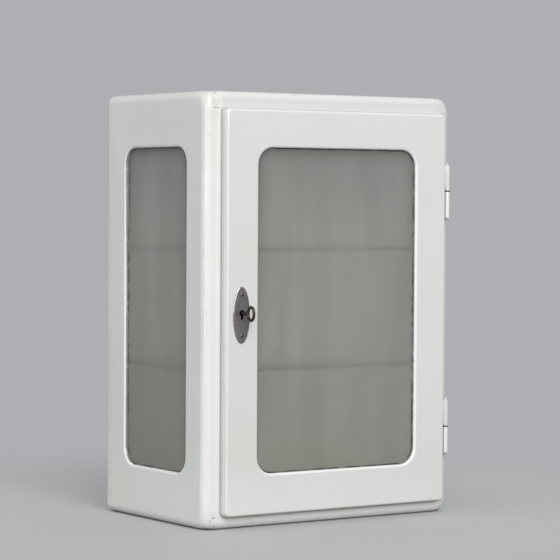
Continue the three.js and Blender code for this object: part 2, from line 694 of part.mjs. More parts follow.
const bitFrontY = skinInsideY + BIT_DEPTH;
const bitRearY = bitFrontY + BIT_WIDTH;
const keyTipY = bitRearY + KEY_PILOT;
const slotHalf = BIT_THICKNESS / 2 + RUNNING;
const tongueRearY = tongueY + TONGUE_THICKNESS;
const nutFrontY = tongueRearY + SEAT;
const nutRearY = nutFrontY + LATCH_NUT;
const hubFrontY = lockFrontY + SEAT;
const hubRearY = chamberRearY - RUNNING;
const hubBody = rodAlongY(hubRadius, keyX, keyZ, hubFrontY, hubRearY);
const half = HUB_SQUARE / 2;
const hubSquare = block(
  [keyX - half, hubRearY - WELD, keyZ - half],
  [keyX + half, tongueRearY, keyZ + half],
);
const hubThread = rodAlongY(HUB_THREAD_RADIUS, keyX, keyZ, tongueRearY - WELD, nutRearY + STUD_END);
const shaftHole = rodAlongY(KEY_SHAFT_RADIUS + RUNNING, keyX, keyZ, hubFrontY - PAST, keyTipY + RUNNING);
const bitSlot = block(
  [keyX - slotHalf, hubFrontY - PAST, keyZ - BIT_REACH - RUNNING],
  [keyX + slotHalf, bitRearY + RUNNING, keyZ],
);
piece(latchGroup, 'lock_hub', cut(join(hubBody, hubSquare, hubThread), shaftHole, bitSlot), 'steel');

const washerRadius = half + SPRING_WASHER_RIM + RUNNING;
const washerRing = rodAlongY(washerRadius, keyX, keyZ, lockRearY + SEAT, tongueY - SEAT);
const washerEye = rodAlongY(hubShaftRadius + RUNNING, keyX, keyZ, lockRearY, tongueY);
piece(latchGroup, 'latch_spring_washer', cut(washerRing, washerEye), 'steel');

// Tongue: a bar on the hub's square, hanging down when unlocked and turned behind the stile when locked
const tongueReach = KEY_BACKSET - DOOR_OVERLAP + TONGUE_CATCH;
const tongueBar = block(
  [keyX - TONGUE_WIDTH / 2, tongueY, keyZ - tongueReach],
  [keyX + TONGUE_WIDTH / 2, tongueRearY, keyZ],
);
const tongueEye = rodAlongY(TONGUE_WIDTH / 2, keyX, keyZ, tongueY, tongueRearY);
const squareHalf = half + RUNNING;
const squareHole = block(
  [keyX - squareHalf, tongueY - PAST, keyZ - squareHalf],
  [keyX + squareHalf, tongueRearY + PAST, keyZ + squareHalf],
);
piece(latchGroup, 'latch_tongue', cut(join(tongueBar, tongueEye), squareHole), 'steel');

const latchNutRadius = HUB_THREAD_RADIUS + RUNNING + LATCH_NUT_WALL;
const latchHexagon = rodAlongY(latchNutRadius, keyX, keyZ, nutFrontY, nutRearY, HEXAGON);
const latchThread = rodAlongY(HUB_THREAD_RADIUS + RUNNING, keyX, keyZ, nutFrontY - PAST, nutRearY + PAST);
piece(latchGroup, 'latch_nut', cut(latchHexagon, latchThread), 'steel');

// Key: an oval ring bow in the plane of the bit, a collar, a shaft and a plain bit pointing down
const bowY = doorFaceY - BOW_STANDOFF;
const bow = new THREE.TorusGeometry(BOW_RADIUS, BOW_WIRE_RADIUS, SMALL_SIDES, ROUND_SIDES + SMALL_SIDES);
bow.rotateY(Math.PI / 2).scale(1, BOW_SQUEEZE, 1).translate(keyX, bowY, keyZ);
const bowRing = solid(bow);
const collarY = bowY + BOW_SQUEEZE * (BOW_RADIUS + BOW_WIRE_RADIUS);
const collar = rodAlongY(KEY_COLLAR_RADIUS, keyX, keyZ, collarY - WELD, collarY + KEY_COLLAR);
const shaftY = bowY + BOW_SQUEEZE * BOW_RADIUS;
const shaft = rodAlongY(KEY_SHAFT_RADIUS, keyX, keyZ, shaftY, keyTipY);
const bit = block(
  [keyX - BIT_THICKNESS / 2, bitFrontY, keyZ - BIT_REACH],
  [keyX + BIT_THICKNESS / 2, bitRearY, keyZ],
);
piece(latchGroup, 'key', join(bowRing, collar, shaft, bit), 'iron');

export default cabinet;
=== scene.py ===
"""A glass door medical cabinet in worn white enamel, with frosted panes and an iron key in an oval plate."""
import json
import math

import bmesh
import bpy
import numpy as np
from mathutils import Matrix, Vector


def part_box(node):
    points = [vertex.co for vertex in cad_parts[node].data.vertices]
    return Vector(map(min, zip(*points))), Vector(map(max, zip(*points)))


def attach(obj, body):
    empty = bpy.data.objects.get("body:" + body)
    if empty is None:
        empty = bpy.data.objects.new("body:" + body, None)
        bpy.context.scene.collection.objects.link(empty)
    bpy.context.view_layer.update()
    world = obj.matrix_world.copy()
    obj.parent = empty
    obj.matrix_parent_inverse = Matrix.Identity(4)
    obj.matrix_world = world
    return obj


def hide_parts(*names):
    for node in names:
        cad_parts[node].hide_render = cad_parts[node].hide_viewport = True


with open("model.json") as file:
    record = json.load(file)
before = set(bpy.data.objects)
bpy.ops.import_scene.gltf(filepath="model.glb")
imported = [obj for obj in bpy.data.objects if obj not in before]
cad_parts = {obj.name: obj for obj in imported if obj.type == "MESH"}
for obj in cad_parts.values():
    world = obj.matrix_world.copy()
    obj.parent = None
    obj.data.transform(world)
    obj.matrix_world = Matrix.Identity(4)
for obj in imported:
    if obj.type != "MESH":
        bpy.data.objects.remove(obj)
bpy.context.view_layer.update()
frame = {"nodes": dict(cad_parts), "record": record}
nodes = frame["nodes"]

# Camera, in metres and degrees
CAMERA_PLACE = (-1.9882, -2.9394, 0.4537)
CAMERA_YAW = -34.121
CAMERA_DOWN = 1.904
CAMERA_ROLL = 0.334
CAMERA_LENS = 157.54
CAMERA_FAR = 50

# Sheet metal, in metres and degrees
SHEET = 0.0012
CASE_ROUND = 0.012
CURL_TURN = 45
CORNER_REACH = 0.024
CORNER_PULL = 0.0036
DOOR_ROUND = 0.004
DOOR_CORNER = 0.008
RIM_DRAFT = 0.0011
RIM_TURN = 10
RIM_BEAD = 0.0011
RIM_BEAD_PLACE = 0.0066
RIM_BEAD_WIDTH = 0.0010
WINDOW_CORNER = 0.024
LIP_ROUND = 0.004
LIP_DEPTH = 0.005
LIP_WAVER = 0.0004
RETURN_ROUND = 0.0015
RETURN_DEPTH = 0.0078
OPENING_LAP = 0.010
BACK_ROUND = 0.0025
BACK_SET = 0.0034
BACK_RIM = 0.012
DENT = 0.00012
GUARD = 0.0008

# Front frame beside the door, in metres
GROOVE_DEPTH = 0.0022
GROOVE_WIDTH = 0.0013
BEAD_HEIGHT = 0.0006
BEAD_PLACE = 0.0050
BEAD_WIDTH = 0.0007
SEAM_DEPTH = 0.0003
SEAM_WIDTH = 0.0005
CREASE_DROP = 0.0125
CREASE_DEPTH = 0.0003
CREASE_WIDTH = 0.0022
RELIEF_REACH = 0.0075
RELIEF_STEP = 0.0005

# Painted highlight line and painted shade on the front bends, in degrees, then in spreads of the line
LINE_TURN = 38
LINE_SPREAD = 4
FACET_SHIFT = 0.8
LINE_EDGE = 0.25
LINE_FADE = 1.2
PAST_FADE = 4
BAND_PLACE = 3.5
BAND_WIDTH = 1.6
FLAKE_PLACE = 0.4
FLAKE_WIDTH = 1 / 3

# Paint, its wear, and its painted light and shade, in metres, degrees and shares
FACET_DEPTH = 0.00003
HIGHLIGHT_LOW = 0.20
HIGHLIGHT_HIGH = 0.6
HIGHLIGHT_FADE = 0.05
PAST_SHARE = 0.95
BAND_SHARE = 0.35
RIM_HIGHLIGHT = 0.6
EDGE_HIGHLIGHT = 0.5
LIP_WEAR = 0.45
EDGE_WEAR = 0.3
RIM_WEAR = 0.4
FOOT_TILT = 48
FOOT_FADE = 22
CRAZED_LOW = 0.022
CRAZED_HIGH = 0.035
CRAZED_SHARE = 0.9
RAIL_FADE = 0.002
SIDE_LIGHT_HIGH = 0.13
SIDE_LIGHT_FADE = 0.08
SIDE_LIGHT_SHARE = 0.25
SPECKS_LOW = 0.35
SPECKS_FADE = 0.15
SPECKS_SHARE = 0.75
BARREL_SPECKS = 0.9

# Panes and what holds them, in metres and shares
PANE_LAP = 0.006
PANE_EDGE = 0.0004
RETAINER_WIDTH = 0.013
RETAINER_INSET = 0.0006
RETAINER_EDGE = 0.0004
STUD_RADIUS = 0.0015
STUD_OFFSET = 0.0078
STUD_TIP = 0.0006
STUD_BEVEL = 0.3
PANE_ROWS = (-0.024, -0.018, -0.012, -0.006, -0.0045, -0.003, -0.0008, 0.0, 0.0012)
RIM_START = -0.003
RIM_FULL = -0.0008
SHADE_PLACES = (-0.0243, -0.024, -0.012, 0.0)
SHADE_SHARES = (0.0, 0.25, 0.45, 1.0)
SHADE_LOW = 0.25

# Shelves, hinges and lock, in metres, degrees and shares
SHELF_CORNER = 0.006
SHELF_EDGE = 0.0007
SHELF_END_SHARE = 0.4
STRIP_SHEET = 0.002
STRIP_BEND = 0.0023
STRIP_EASE = 0.00025
BARREL_DOME = 0.0026
BARREL_EASE = 0.0003
LEAF_END = 0.003
LEAF_FOOT = 0.005
EYE_RADIUS = 0.0042
SLOT_HALF = 0.00205
SLOT_FOOT = 0.00885
KEYHOLE_PLAY = 0.0008
PLATE_EASE = 0.00025
PLATE_BEVEL = 0.001
PLATE_DOME = 0.0004
PLATE_FALL = 0.8
EDGE_LIGHT_START = -0.16
EDGE_LIGHT_FADE = 0.4
SCREW_RADIUS = 0.0028
SCREW_SLOT = 0.0009
SCREW_FALL = 0.55
SLOT_FLOOR = 0.1
SCREW_TURNS = {"upper": -42, "lower": -50}
KEY_WIRE = 0.0022
KEY_SQUEEZE = 0.8
KEY_SHAFT = 0.0025
KEY_COLLAR = 0.003
BIT_HALF = 0.0012
BIT_WIDTH = 0.007
BIT_REACH = 0.008
KEY_PILOT = 0.002

# Backdrop, floor and light, in metres and watts
BACKDROP = (0.423, 0.427, 0.448, 1)
FLOOR_TONE = (0.56, 0.56, 0.56, 1)
FLOOR_BOUNCE = (0.25, 0.25, 0.25, 1)
FLOOR_SIZE = 6.0
FLOOR_NEAR = 0.35
FLOOR_FAR = 1.0
ROOM_TONE = (0.97, 0.99, 1.0, 1)
ROOM_LIGHT = 0.565
SOFTBOXES = {
    "key_light": {"place": (-2.65, -7.19, 4.3), "aim": (0, -0.1, 0.3), "size": (6.0, 4.8), "power": 505},
    "side_strip": {"place": (-3.75, -1.96, 0.75), "aim": (0, -0.1, 0.4), "size": (0.3, 1.3), "power": 11},
    "front_strip": {"place": (-2.51, -3.29, 0.75), "aim": (0, -0.1, 0.4), "size": (0.25, 1.3), "power": 7},
}

# Colours of worn paint, dirt and glass, and of painted light and shade
STREAK_SHARE = 0.95
DULL_SHARE = 0.84
SIDE_LIGHT_TINT = (1.065, 1.085, 1.055, 1)
STAINED = (0.945, 0.933, 0.92, 1)
HIGHLIGHT_PAINT = (0.95, 0.95, 0.94, 1)
RUSTY_PAINT = (0.5, 0.4, 0.28, 1)
SMEARED_PAINT = (0.5, 0.47, 0.41, 1)
BARE_STEEL = (0.15, 0.14, 0.125, 1)
STEEL_HIGHLIGHT = (0.72, 0.71, 0.69, 1)
DIRT = (0.09, 0.09, 0.08, 1)
PAINTED_FOOT_SHADOW = (0.05, 0.045, 0.04, 1)
PANE_SHADE = (0.36, 0.363, 0.33, 1)
PANE_LINE = (0.03, 0.03, 0.028, 1)
PANE_LIGHT = (0.5, 0.515, 0.485, 1)
SHELF_TONE = (0.80, 0.91, 0.85, 1)
SHELF_EDGE_TONE = (0.045, 0.085, 0.07, 1)
SHELF_LIGHT = (0.72, 0.8, 0.76, 1)

# Grid steps, as counts and in metres
CORNER_STEPS = 18
SIDE_STEPS = 26
BEND_STEPS = 8
CURL_STEPS = 6
EASE_STEPS = 4
RIM_STEPS = 24
LINE_STEPS = 16
RUST_BEFORE = 3
RUST_AFTER = 5
DOOR_STEPS = 8
PLATE_STEPS = 6
STRIP_STEPS = 6
DOME_STEPS = 8
SCREW_STEPS = 9
STUD_STEPS = 16
WIRE_STEPS = 20
TURNED_STEPS = 28
RING_STEPS = 56
KEYHOLE_STEPS = 96
WINDOW_MARGIN = 0.014
FINE_STEP = 0.004
COARSE_STEP = 0.018
WELD = 1e-6
SHARP_ANGLE = math.radians(38)

X_AXIS, Y_AXIS, UP = np.eye(3)


# Places read from the frame
def span(*names):
    """Lowest and highest corner of several CAD nodes taken together."""
    corners = np.array([[list(corner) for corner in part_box(name)] for name in names])
    return corners[:, 0].min(axis=0), corners[:, 1].max(axis=0)


CASE_PANELS = ["left_side_panel", "right_side_panel", "top_panel", "bottom_panel"]
case_low, case_high = span(*CASE_PANELS)
door_low, door_high = span("door_skin")
half_width = case_high[0]
case_front = case_low[1]
case_back = case_high[1]
case_height = case_high[2]
door_face_y = door_low[1]
door_rim = door_high[1] - door_face_y

# A face is its origin, its direction to the right as seen from outside, and its direction inwards
door_face = (door_face_y * Y_AXIS, X_AXIS, Y_AXIS)
front_face = (case_front * Y_AXIS, X_AXIS, Y_AXIS)
left_face = (-half_width * X_AXIS, -Y_AXIS, X_AXIS)
right_face = (half_width * X_AXIS, Y_AXIS, -X_AXIS)
back_face = (case_back * Y_AXIS, -X_AXIS, -Y_AXIS)


def on_face(face, flat, depth):
    """Face coordinates to the cabinet's: the origin plus steps to the right, up and inwards."""
    origin, right, inward = face
    across = flat[..., 0, None] * right
    upward = flat[..., 1, None] * np.cross(right, inward)
    return origin + across + upward + np.asarray(depth)[..., None] * inward


def depths_of(node, face):
    """Depths of a node's near and far side below a face."""
    low, high = span(node)
    return sorted(float((corner - face[0]) @ face[2]) for corner in (low, high))


def window_of(pane, face):
    """Left, right, low and high edge of a window on its face: the pane's box less its lap."""
    low, high = span(pane)
    ends = sorted(float((corner - face[0]) @ face[1]) for corner in (low, high))
    return ends[0] + PANE_LAP, ends[1] - PANE_LAP, low[2] + PANE_LAP, high[2] - PANE_LAP


def joint_place(name):
    """A point on a joint's axis, from the frame's record."""
    joints = frame["record"]["behaviour"]["joints"]
    return next(joint["pos_m"] for joint in joints if joint["name"] == name)


hinge_x, hinge_y, _ = joint_place("door_swing")
key_x, _, key_z = joint_place("key_turn")
door_window = window_of("door_pane", door_face)
left_window = window_of("left_pane", left_face)
right_window = window_of("right_pane", right_face)


# Grids and meshes
def stacked(*parts):
    """Coordinates spread over one another's shapes, then put side by side on a last axis."""
    return np.stack(np.broadcast_arrays(*parts), axis=-1)


def lattice(rows, columns, wrap_rows, wrap_columns):
    """Corner numbers of the faces between neighbouring rows and columns of a grid."""
    row = np.arange(rows if wrap_rows else rows - 1)
    column = np.arange(columns if wrap_columns else columns - 1)
    here, side = np.meshgrid(row, column, indexing="ij")
    next_row = (here + 1) % rows
    next_side = (side + 1) % columns
    corners = [
        here * columns + side,
        here * columns + next_side,
        next_row * columns + next_side,
        next_row * columns + side,
    ]
    return stacked(*corners).reshape(-1, 4)


class Patchwork:
    """Grid surfaces gathered into one mesh, each with its own marks for the finish to read."""

    def __init__(self):
        self.points = []
        self.faces = []
        self.marks = {}
        self.count = 0

    def add(self, grid, wrap_rows=False, wrap_columns=False, keep=None, **marks):
        """Adds a grid, with only the faces to keep; a mark is one number, or one for each row or point."""
        rows, columns = grid.shape[:2]
        faces = lattice(rows, columns, wrap_rows, wrap_columns)
        if keep is not None:
            faces = faces[keep.ravel()]
        for mark in set(marks) | set(self.marks):
            values = np.broadcast_to(np.asarray(marks.get(mark, 0.0), float), (rows, columns))
            earlier = self.marks.setdefault(mark, [np.zeros(self.count)])
            earlier.append(values.ravel())
        self.points.append(grid.reshape(-1, 3))
        self.faces.append(faces + self.count)
        self.count += rows * columns

    def mesh(self, name):
        """One mesh of all the patches, with shared points welded and faces turned outwards."""
        mesh = bpy.data.meshes.new(name)
        mesh.from_pydata(np.concatenate(self.points).tolist(), [], np.concatenate(self.faces).tolist())
        for mark, values in self.marks.items():
            layer = mesh.attributes.new(mark, "FLOAT", "POINT")
            layer.data.foreach_set("value", np.concatenate(values).astype(np.float32))
        welded = bmesh.new()
        welded.from_mesh(mesh)
        bmesh.ops.remove_doubles(welded, verts=welded.verts, dist=WELD)
        bmesh.ops.recalc_face_normals(welded, faces=welded.faces)
        welded.to_mesh(mesh)
        welded.free()
        return mesh


def add_object(name, data):
    """A new object in the scene, at the origin."""
    made = bpy.data.objects.new(name, data)
    bpy.context.scene.collection.objects.link(made)
    return made


def make_piece(name, patchwork, finish, body, replaces, ease=0.0):
    """A piece from a patchwork, riding on a body and standing for CAD nodes, its edges eased if asked."""
    piece = add_object(name, patchwork.mesh(name))
    piece.data.materials.append(finish)
    smooth(piece)
    if ease:
        bevel = piece.modifiers.new("ease", "BEVEL")
        bevel.width = ease
        bevel.segments = 2
        bevel.limit_method = "ANGLE"
        settle(piece)
    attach(piece, body)
    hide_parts(*replaces)
    return piece


def smooth(piece):
    """Smooth shading, broken where faces meet at more than the sharp angle."""
    piece.data.polygons.foreach_set("use_smooth", np.ones(len(piece.data.polygons), bool))
    piece.data.set_sharp_from_angle(angle=SHARP_ANGLE)


def settle(piece):
    """A piece's modifiers made part of its mesh."""
    shaped = piece.evaluated_get(bpy.context.evaluated_depsgraph_get())
    mesh = bpy.data.meshes.new_from_object(shaped)
    piece.modifiers.clear()
    piece.data = mesh
    smooth(piece)


# Curves and wavering
def waver(along, seed):
    """An uneven line between 0 and 1: four sine waves of unrelated lengths, added and scaled."""
    lengths = np.array([0.043, 0.019, 0.0083, 0.0047])
    shares = np.array([0.38, 0.28, 0.2, 0.14])
    phases = seed * np.array([1.0, 2.3, 3.7, 5.1])
    waves = np.sin(2 * math.pi * along[..., None] / lengths + phases)
    return 0.5 + 0.5 * (waves * shares).sum(axis=-1)


def ramp(value, start, reach):
    """0 at the start, 1 a reach further on and straight between; a negative reach runs the other way."""
    return np.clip((value - start) / reach, 0, 1)


def eased(share):
    """A share with soft ends: three times its square less twice its cube."""
    return share * share * (3 - 2 * share)


def dents(points):
    """How far beaten sheet lies under its true face: two long crossing waves, between 0 and DENT."""
    x, y, z = np.moveaxis(points, -1, 0)
    first = np.sin(31 * x + 17 * z + 1.1) * np.sin(23 * y - 13 * z + 0.4)
    second = np.sin(57 * z + 11 * x - 29 * y)
    return DENT * (0.5 + 0.3 * first + 0.2 * second)


def painted_side_light(points):
    """How much painted light the sides get: a share all over, rising to 1 near the foot."""
    return SIDE_LIGHT_SHARE + (1 - SIDE_LIGHT_SHARE) * ramp(points[..., 2], SIDE_LIGHT_HIGH, -SIDE_LIGHT_FADE)


def staining(points):
    """How far the paint of the door has yellowed: most beside the lock and low down, least at the hinges,
    with none at the very foot."""
    x, _, z = np.moveaxis((points - door_low) / (door_high - door_low), -1, 0)
    beside_lock = np.clip(1 - 0.8 * x, 0, 1)
    above_foot = ramp(z, 0.03, 0.1)
    below_top = 1 - 0.5 * ramp(z, 0.3, 0.7)
    return beside_lock * above_foot * below_top


def corner_pull(points):
    """How far the case's front corners lie inside the rounding of its edges: a smooth step towards the
    front, towards a side and towards the top or bottom, multiplied."""
    x, y, z = np.moveaxis(points, -1, 0)
    inside = [y - case_front, half_width - np.abs(x), np.minimum(z, case_height - z)]
    near = np.clip(1 - np.stack(inside) / CORNER_REACH, 0, 1)
    return CORNER_PULL * np.prod(eased(near), axis=0)


def front_relief(points):
    """How far the front frame lies under its true face near the door. From the door's edge outwards: a
    groove that rises to the face, save above the door, a low bead along the lock stile, a seam level
    with the door's ends, and a soft crease along the top rail. Gives the seam and the bead as well."""
    x, _, z = np.moveaxis(points, -1, 0)
    middle_x, _, middle_z = (door_low + door_high) / 2
    half_x, _, half_z = (door_high - door_low) / 2
    past_x = np.abs(x - middle_x) - half_x + DOOR_CORNER
    past_z = np.abs(z - middle_z) - half_z + DOOR_CORNER
    away = np.hypot(np.maximum(past_x, 0), np.maximum(past_z, 0)) - DOOR_CORNER
    rise = eased(ramp(away, 0, GROOVE_WIDTH))
    above = ramp(z, door_high[2] - GROOVE_WIDTH, GROOVE_WIDTH)
    groove = GROOVE_DEPTH * (1 - rise) * (1 - above)
    beside = ramp(past_x - past_z, 0, DOOR_CORNER) * (x < middle_x)
    crest = np.exp(-((away - BEAD_PLACE) / BEAD_WIDTH) ** 2)
    # The bead's crest also carries a painted highlight
    ridge = crest * beside * (0.65 + 0.35 * waver(z, 2.1))
    level = np.exp(-((past_z - DOOR_CORNER) / SEAM_WIDTH) ** 2)
    outside = ramp(away, 0, BEAD_PLACE)
    seam = level * outside * np.clip(waver(x, 4.4) * 1.6 - 0.3, 0, 1)
    from_crease = z - case_height + CREASE_DROP
    crease = np.exp(-(from_crease / CREASE_WIDTH) ** 2) * (0.3 + 0.7 * waver(x / 4, 3.1))
    return groove - BEAD_HEIGHT * ridge + SEAM_DEPTH * seam + CREASE_DEPTH * crease, seam, ridge


def bend(centre_offset, centre_depth, radius, start, stop, steps=BEND_STEPS):
    """Offsets and depths of a bend: a circle's arc, its angle in degrees from outward to faceward."""
    angle = np.radians(np.linspace(start, stop, steps + 1))
    return centre_offset + radius * np.cos(angle), centre_depth - radius * np.sin(angle)


def section(*stretches):
    """Offsets and depths of several stretches, end to end, as columns of rows."""
    offsets = np.concatenate([np.atleast_1d(offset) for offset, _ in stretches])
    depths = np.concatenate([np.atleast_1d(depth) for _, depth in stretches])
    return offsets[:, None], depths[:, None]


def rounded_outline(edges, radius, corner_steps=CORNER_STEPS, side_steps=SIDE_STEPS):
    """A rounded rectangle as the points its stations turn about, their outward directions and its radius.
    A corner's stations share its centre and turn by a quarter; a side's slide from centre to centre."""
    left, right, low, high = edges
    turn = np.linspace(0, math.pi / 2, corner_steps + 1)
    slide = np.linspace(0, 1, side_steps + 1)[1:-1, None]
    centres = np.array([
        [right - radius, high - radius],
        [left + radius, high - radius],
        [left + radius, low + radius],
        [right - radius, low + radius],
    ])
    pivots = []
    outward = []
    for corner in range(4):
        angle = turn + corner * math.pi / 2
        here = centres[corner]
        after = centres[(corner + 1) % 4]
        quarter = stacked(np.cos(angle), np.sin(angle))
        pivots += [np.tile(here, (len(turn), 1)), here + (after - here) * slide]
        outward += [quarter, np.tile(quarter[-1], (len(slide), 1))]
    return np.concatenate(pivots), np.concatenate(outward), radius


def carried(outline, offsets, depths, face):
    """A section carried round an outline: each row is the outline at its offset and depth."""
    pivots, outward, radius = outline
    reach = np.broadcast_to(radius + offsets, (len(offsets), len(pivots)))
    flat = pivots + outward * reach[..., None]
    return on_face(face, flat, np.broadcast_to(depths, reach.shape))


def lengths_round(outline):
    """Distance run along an outline to each of its stations."""
    pivots, outward, radius = outline
    points = pivots + outward * radius
    steps = np.linalg.norm(np.diff(points, axis=0, prepend=points[-1:]), axis=1)
    return np.cumsum(steps)


def lathe(profile_radius, profile_place, steps):
    """A profile of radii and places along an axis, turned round it: rows follow the profile."""
    angle = np.linspace(0, 2 * math.pi, steps, endpoint=False)
    radius = np.asarray(profile_radius)[:, None]
    place = np.broadcast_to(np.asarray(profile_place)[:, None], (len(radius), steps))
    return radius * np.cos(angle), radius * np.sin(angle), place


def lip_section(wandering):
    """A window's lip from the flat face to its inner end: a bend inwards, then a short straight wall
    whose end wavers where paint has run on to the glass."""
    turned = bend(LIP_ROUND, LIP_ROUND, LIP_ROUND, 90, 180)
    offsets, depths = section((LIP_ROUND + GUARD, 0.0), turned)
    last_offset = -LIP_WAVER * wandering[None, :]
    stations = len(wandering)
    offsets = np.concatenate([np.repeat(offsets, stations, axis=1), last_offset])
    depths = np.concatenate([np.repeat(depths, stations, axis=1), np.full((1, stations), LIP_DEPTH)])
    return offsets, depths


def lip_marks(rows):
    """How far down the lip each row lies, from 0 on the face to 1 at the end."""
    return np.linspace(0, 1, rows)[:, None]


# Finishes
def shaded(tone, share):
    """A colour with its red, green and blue taken down to a share of themselves."""
    return [part * share for part in tone[:3]] + [1]


class Finish:
    """A node material, built by short calls."""

    def __init__(self, name):
        self.material = bpy.data.materials.new(name)
        self.material.use_nodes = True
        self.tree = self.material.node_tree
        self.tree.nodes.clear()
        self.output = self.add("ShaderNodeOutputMaterial")
        self.shader = self.add("ShaderNodeBsdfPrincipled")
        self.join(self.shader.outputs[0], self.output.inputs["Surface"])
        self.place = self.add("ShaderNodeTexCoord").outputs["Object"]

    def add(self, kind, **values):
        node = self.tree.nodes.new(kind)
        for name, value in values.items():
            setattr(node, name, value)
        return node

    def join(self, source, target):
        self.tree.links.new(source, target)

    def feed(self, socket, value):
        if isinstance(value, bpy.types.NodeSocket):
            self.join(value, socket)
        else:
            socket.default_value = value

    def settings(self, **values):
        for name, value in values.items():
            self.feed(self.shader.inputs[name.replace("_", " ")], value)

    def mark(self, name):
        return self.add("ShaderNodeAttribute", attribute_name=name).outputs["Fac"]

    def noise(self, scale, detail=2.0, roughness=0.5, stretch=(1, 1, 1)):
        mapping = self.add("ShaderNodeMapping")
        mapping.inputs["Scale"].default_value = stretch
        self.join(self.place, mapping.inputs["Vector"])
        noise = self.add("ShaderNodeTexNoise")
        self.join(mapping.outputs[0], noise.inputs["Vector"])
        noise.inputs["Scale"].default_value = scale
        noise.inputs["Detail"].default_value = detail
        noise.inputs["Roughness"].default_value = roughness
        return noise.outputs[0]

    def between(self, value, low, high, first=0.0, last=1.0):
        node = self.add("ShaderNodeMapRange", interpolation_type="SMOOTHSTEP")
        for name, given in zip(("Value", "From Min", "From Max", "To Min", "To Max"),
                               (value, low, high, first, last)):
            self.feed(node.inputs[name], given)
        return node.outputs[0]

    def combined(self, operation, first, second):
        node = self.add("ShaderNodeMath", operation=operation)
        self.feed(node.inputs[0], first)
        self.feed(node.inputs[1], second)
        return node.outputs[0]

    def plus(self, first, second):
        return self.combined("ADD", first, second)

    def minus(self, first, second):
        return self.combined("SUBTRACT", first, second)

    def times(self, first, second):
        return self.combined("MULTIPLY", first, second)

    def larger(self, first, second):
        return self.combined("MAXIMUM", first, second)

    def mixed(self, share, first, second, blend="MIX"):
        node = self.add("ShaderNodeMix", data_type="RGBA", blend_type=blend)
        for socket, given in zip((node.inputs[0], node.inputs[6], node.inputs[7]), (share, first, second)):
            self.feed(socket, given)
        return node.outputs[2]

    def bump(self, height, distance, under=None, sunken=False):
        node = self.add("ShaderNodeBump", invert=sunken)
        node.inputs["Distance"].default_value = distance
        self.join(height, node.inputs["Height"])
        if under is not None:
            self.join(under, node.inputs["Normal"])
        return node.outputs[0]

    def lets_lamps_through(self, tint):
        """Shadow rays pass through, tinted, so that lamps light what stands behind the glass."""
        rays = self.add("ShaderNodeLightPath")
        clear = self.add("ShaderNodeBsdfTransparent")
        clear.inputs["Color"].default_value = tint
        choice = self.add("ShaderNodeMixShader")
        self.join(rays.outputs["Is Shadow Ray"], choice.inputs[0])
        self.join(self.shader.outputs[0], choice.inputs[1])
        self.join(clear.outputs[0], choice.inputs[2])
        self.join(choice.outputs[0], self.output.inputs["Surface"])


def enamel(name, tone, aged):
    """Brushed-on white enamel: faint upright strokes, patches of age, stained where marked, smeared and
    chipped on worn bends, with dirt in seams and dark specks where the paint ends at the glass. Painted light
    on the sides, painted highlights on rolled edges and ridges, painted shade where marked dull, which also
    darkens the top rail, and a painted contact shadow at the foot."""
    paint = Finish(name)
    strokes = paint.noise(1.0, 3.0, 0.6, stretch=(430, 430, 9))
    runs = paint.noise(1.0, 2.0, 0.5, stretch=(90, 90, 14))
    clouds = paint.noise(7.0, 3.0)
    flecks = paint.noise(260.0, 4.0, 0.65)
    patches = paint.noise(21.0, 2.0)
    lip = paint.mark("lip")
    ridge = paint.mark("ridge")
    crazed = paint.mark("crazed")

    colour = paint.mixed(paint.between(clouds, 0.35, 0.7), tone, aged)
    streak = paint.times(paint.between(strokes, 0.35, 0.8), 0.5)
    colour = paint.mixed(streak, colour, shaded(tone, STREAK_SHARE))
    # Darker where marked dull: painted shade beside the bend lines and behind the hinges, and a darker top
    # rail
    colour = paint.mixed(paint.mark("dull"), colour, shaded(tone, DULL_SHARE))
    # Painted light: the sides are painted lighter and greener, most near the foot
    colour = paint.mixed(paint.mark("bleached"), colour, SIDE_LIGHT_TINT, "MULTIPLY")
    colour = paint.mixed(paint.mark("stained"), colour, STAINED, "MULTIPLY")

    # Painted highlights: rolled lip edges and marked ridges are painted near white
    rolled = paint.times(paint.between(lip, 0.1, 0.4), paint.between(lip, 0.7, 0.85, 0.75, 0.0))
    colour = paint.mixed(paint.larger(paint.times(ridge, 0.9), rolled), colour, HIGHLIGHT_PAINT)
    rusty = paint.times(paint.mark("rust"), paint.between(flecks, 0.3, 0.5, 0.35, 0.9))
    colour = paint.mixed(rusty, colour, RUSTY_PAINT)
    smears = paint.times(paint.between(flecks, 0.42, 0.6), paint.times(crazed, 0.55))
    colour = paint.mixed(smears, colour, SMEARED_PAINT)

    patches = paint.plus(patches, paint.times(crazed, 0.28))
    bare = paint.times(paint.between(patches, 0.52, 0.7), paint.larger(paint.mark("wear"), ridge))
    chips = paint.times(bare, paint.between(flecks, 0.6, 0.66))
    colour = paint.mixed(paint.times(chips, 0.85), colour, BARE_STEEL)
    at_glass = paint.times(paint.between(lip, 0.68, 0.86), paint.between(flecks, 0.35, 0.48))
    at_rear = paint.times(paint.between(paint.mark("grimy"), 0.4, 0.56), paint.between(flecks, 0.28, 0.4))
    in_seams = paint.times(paint.between(paint.mark("seam"), 0.2, 0.8), paint.between(flecks, 0.4, 0.56))
    darkened = paint.larger(paint.larger(at_glass, at_rear), in_seams)
    colour = paint.mixed(paint.times(darkened, 0.82), colour, DIRT)
    # Painted contact shadow: the underside of the foot's rounding is painted dark
    colour = paint.mixed(paint.times(paint.mark("foot"), 0.8), colour, PAINTED_FOOT_SHADOW)

    combed = paint.bump(strokes, 0.00008)
    curdled = paint.bump(paint.times(flecks, ridge), 0.0003, under=combed)
    swells = paint.bump(runs, 0.00035, under=curdled)
    gloss = paint.between(strokes, 0.25, 0.8, 0.3, 0.42)
    paint.settings(
        Base_Color=colour,
        Roughness=paint.plus(gloss, paint.times(chips, 0.25)),
        Normal=paint.bump(chips, 0.0003, under=swells, sunken=True),
        Coat_Weight=0.85,
        Coat_Roughness=0.05,
        Coat_Normal=swells,
    )
    return paint.material


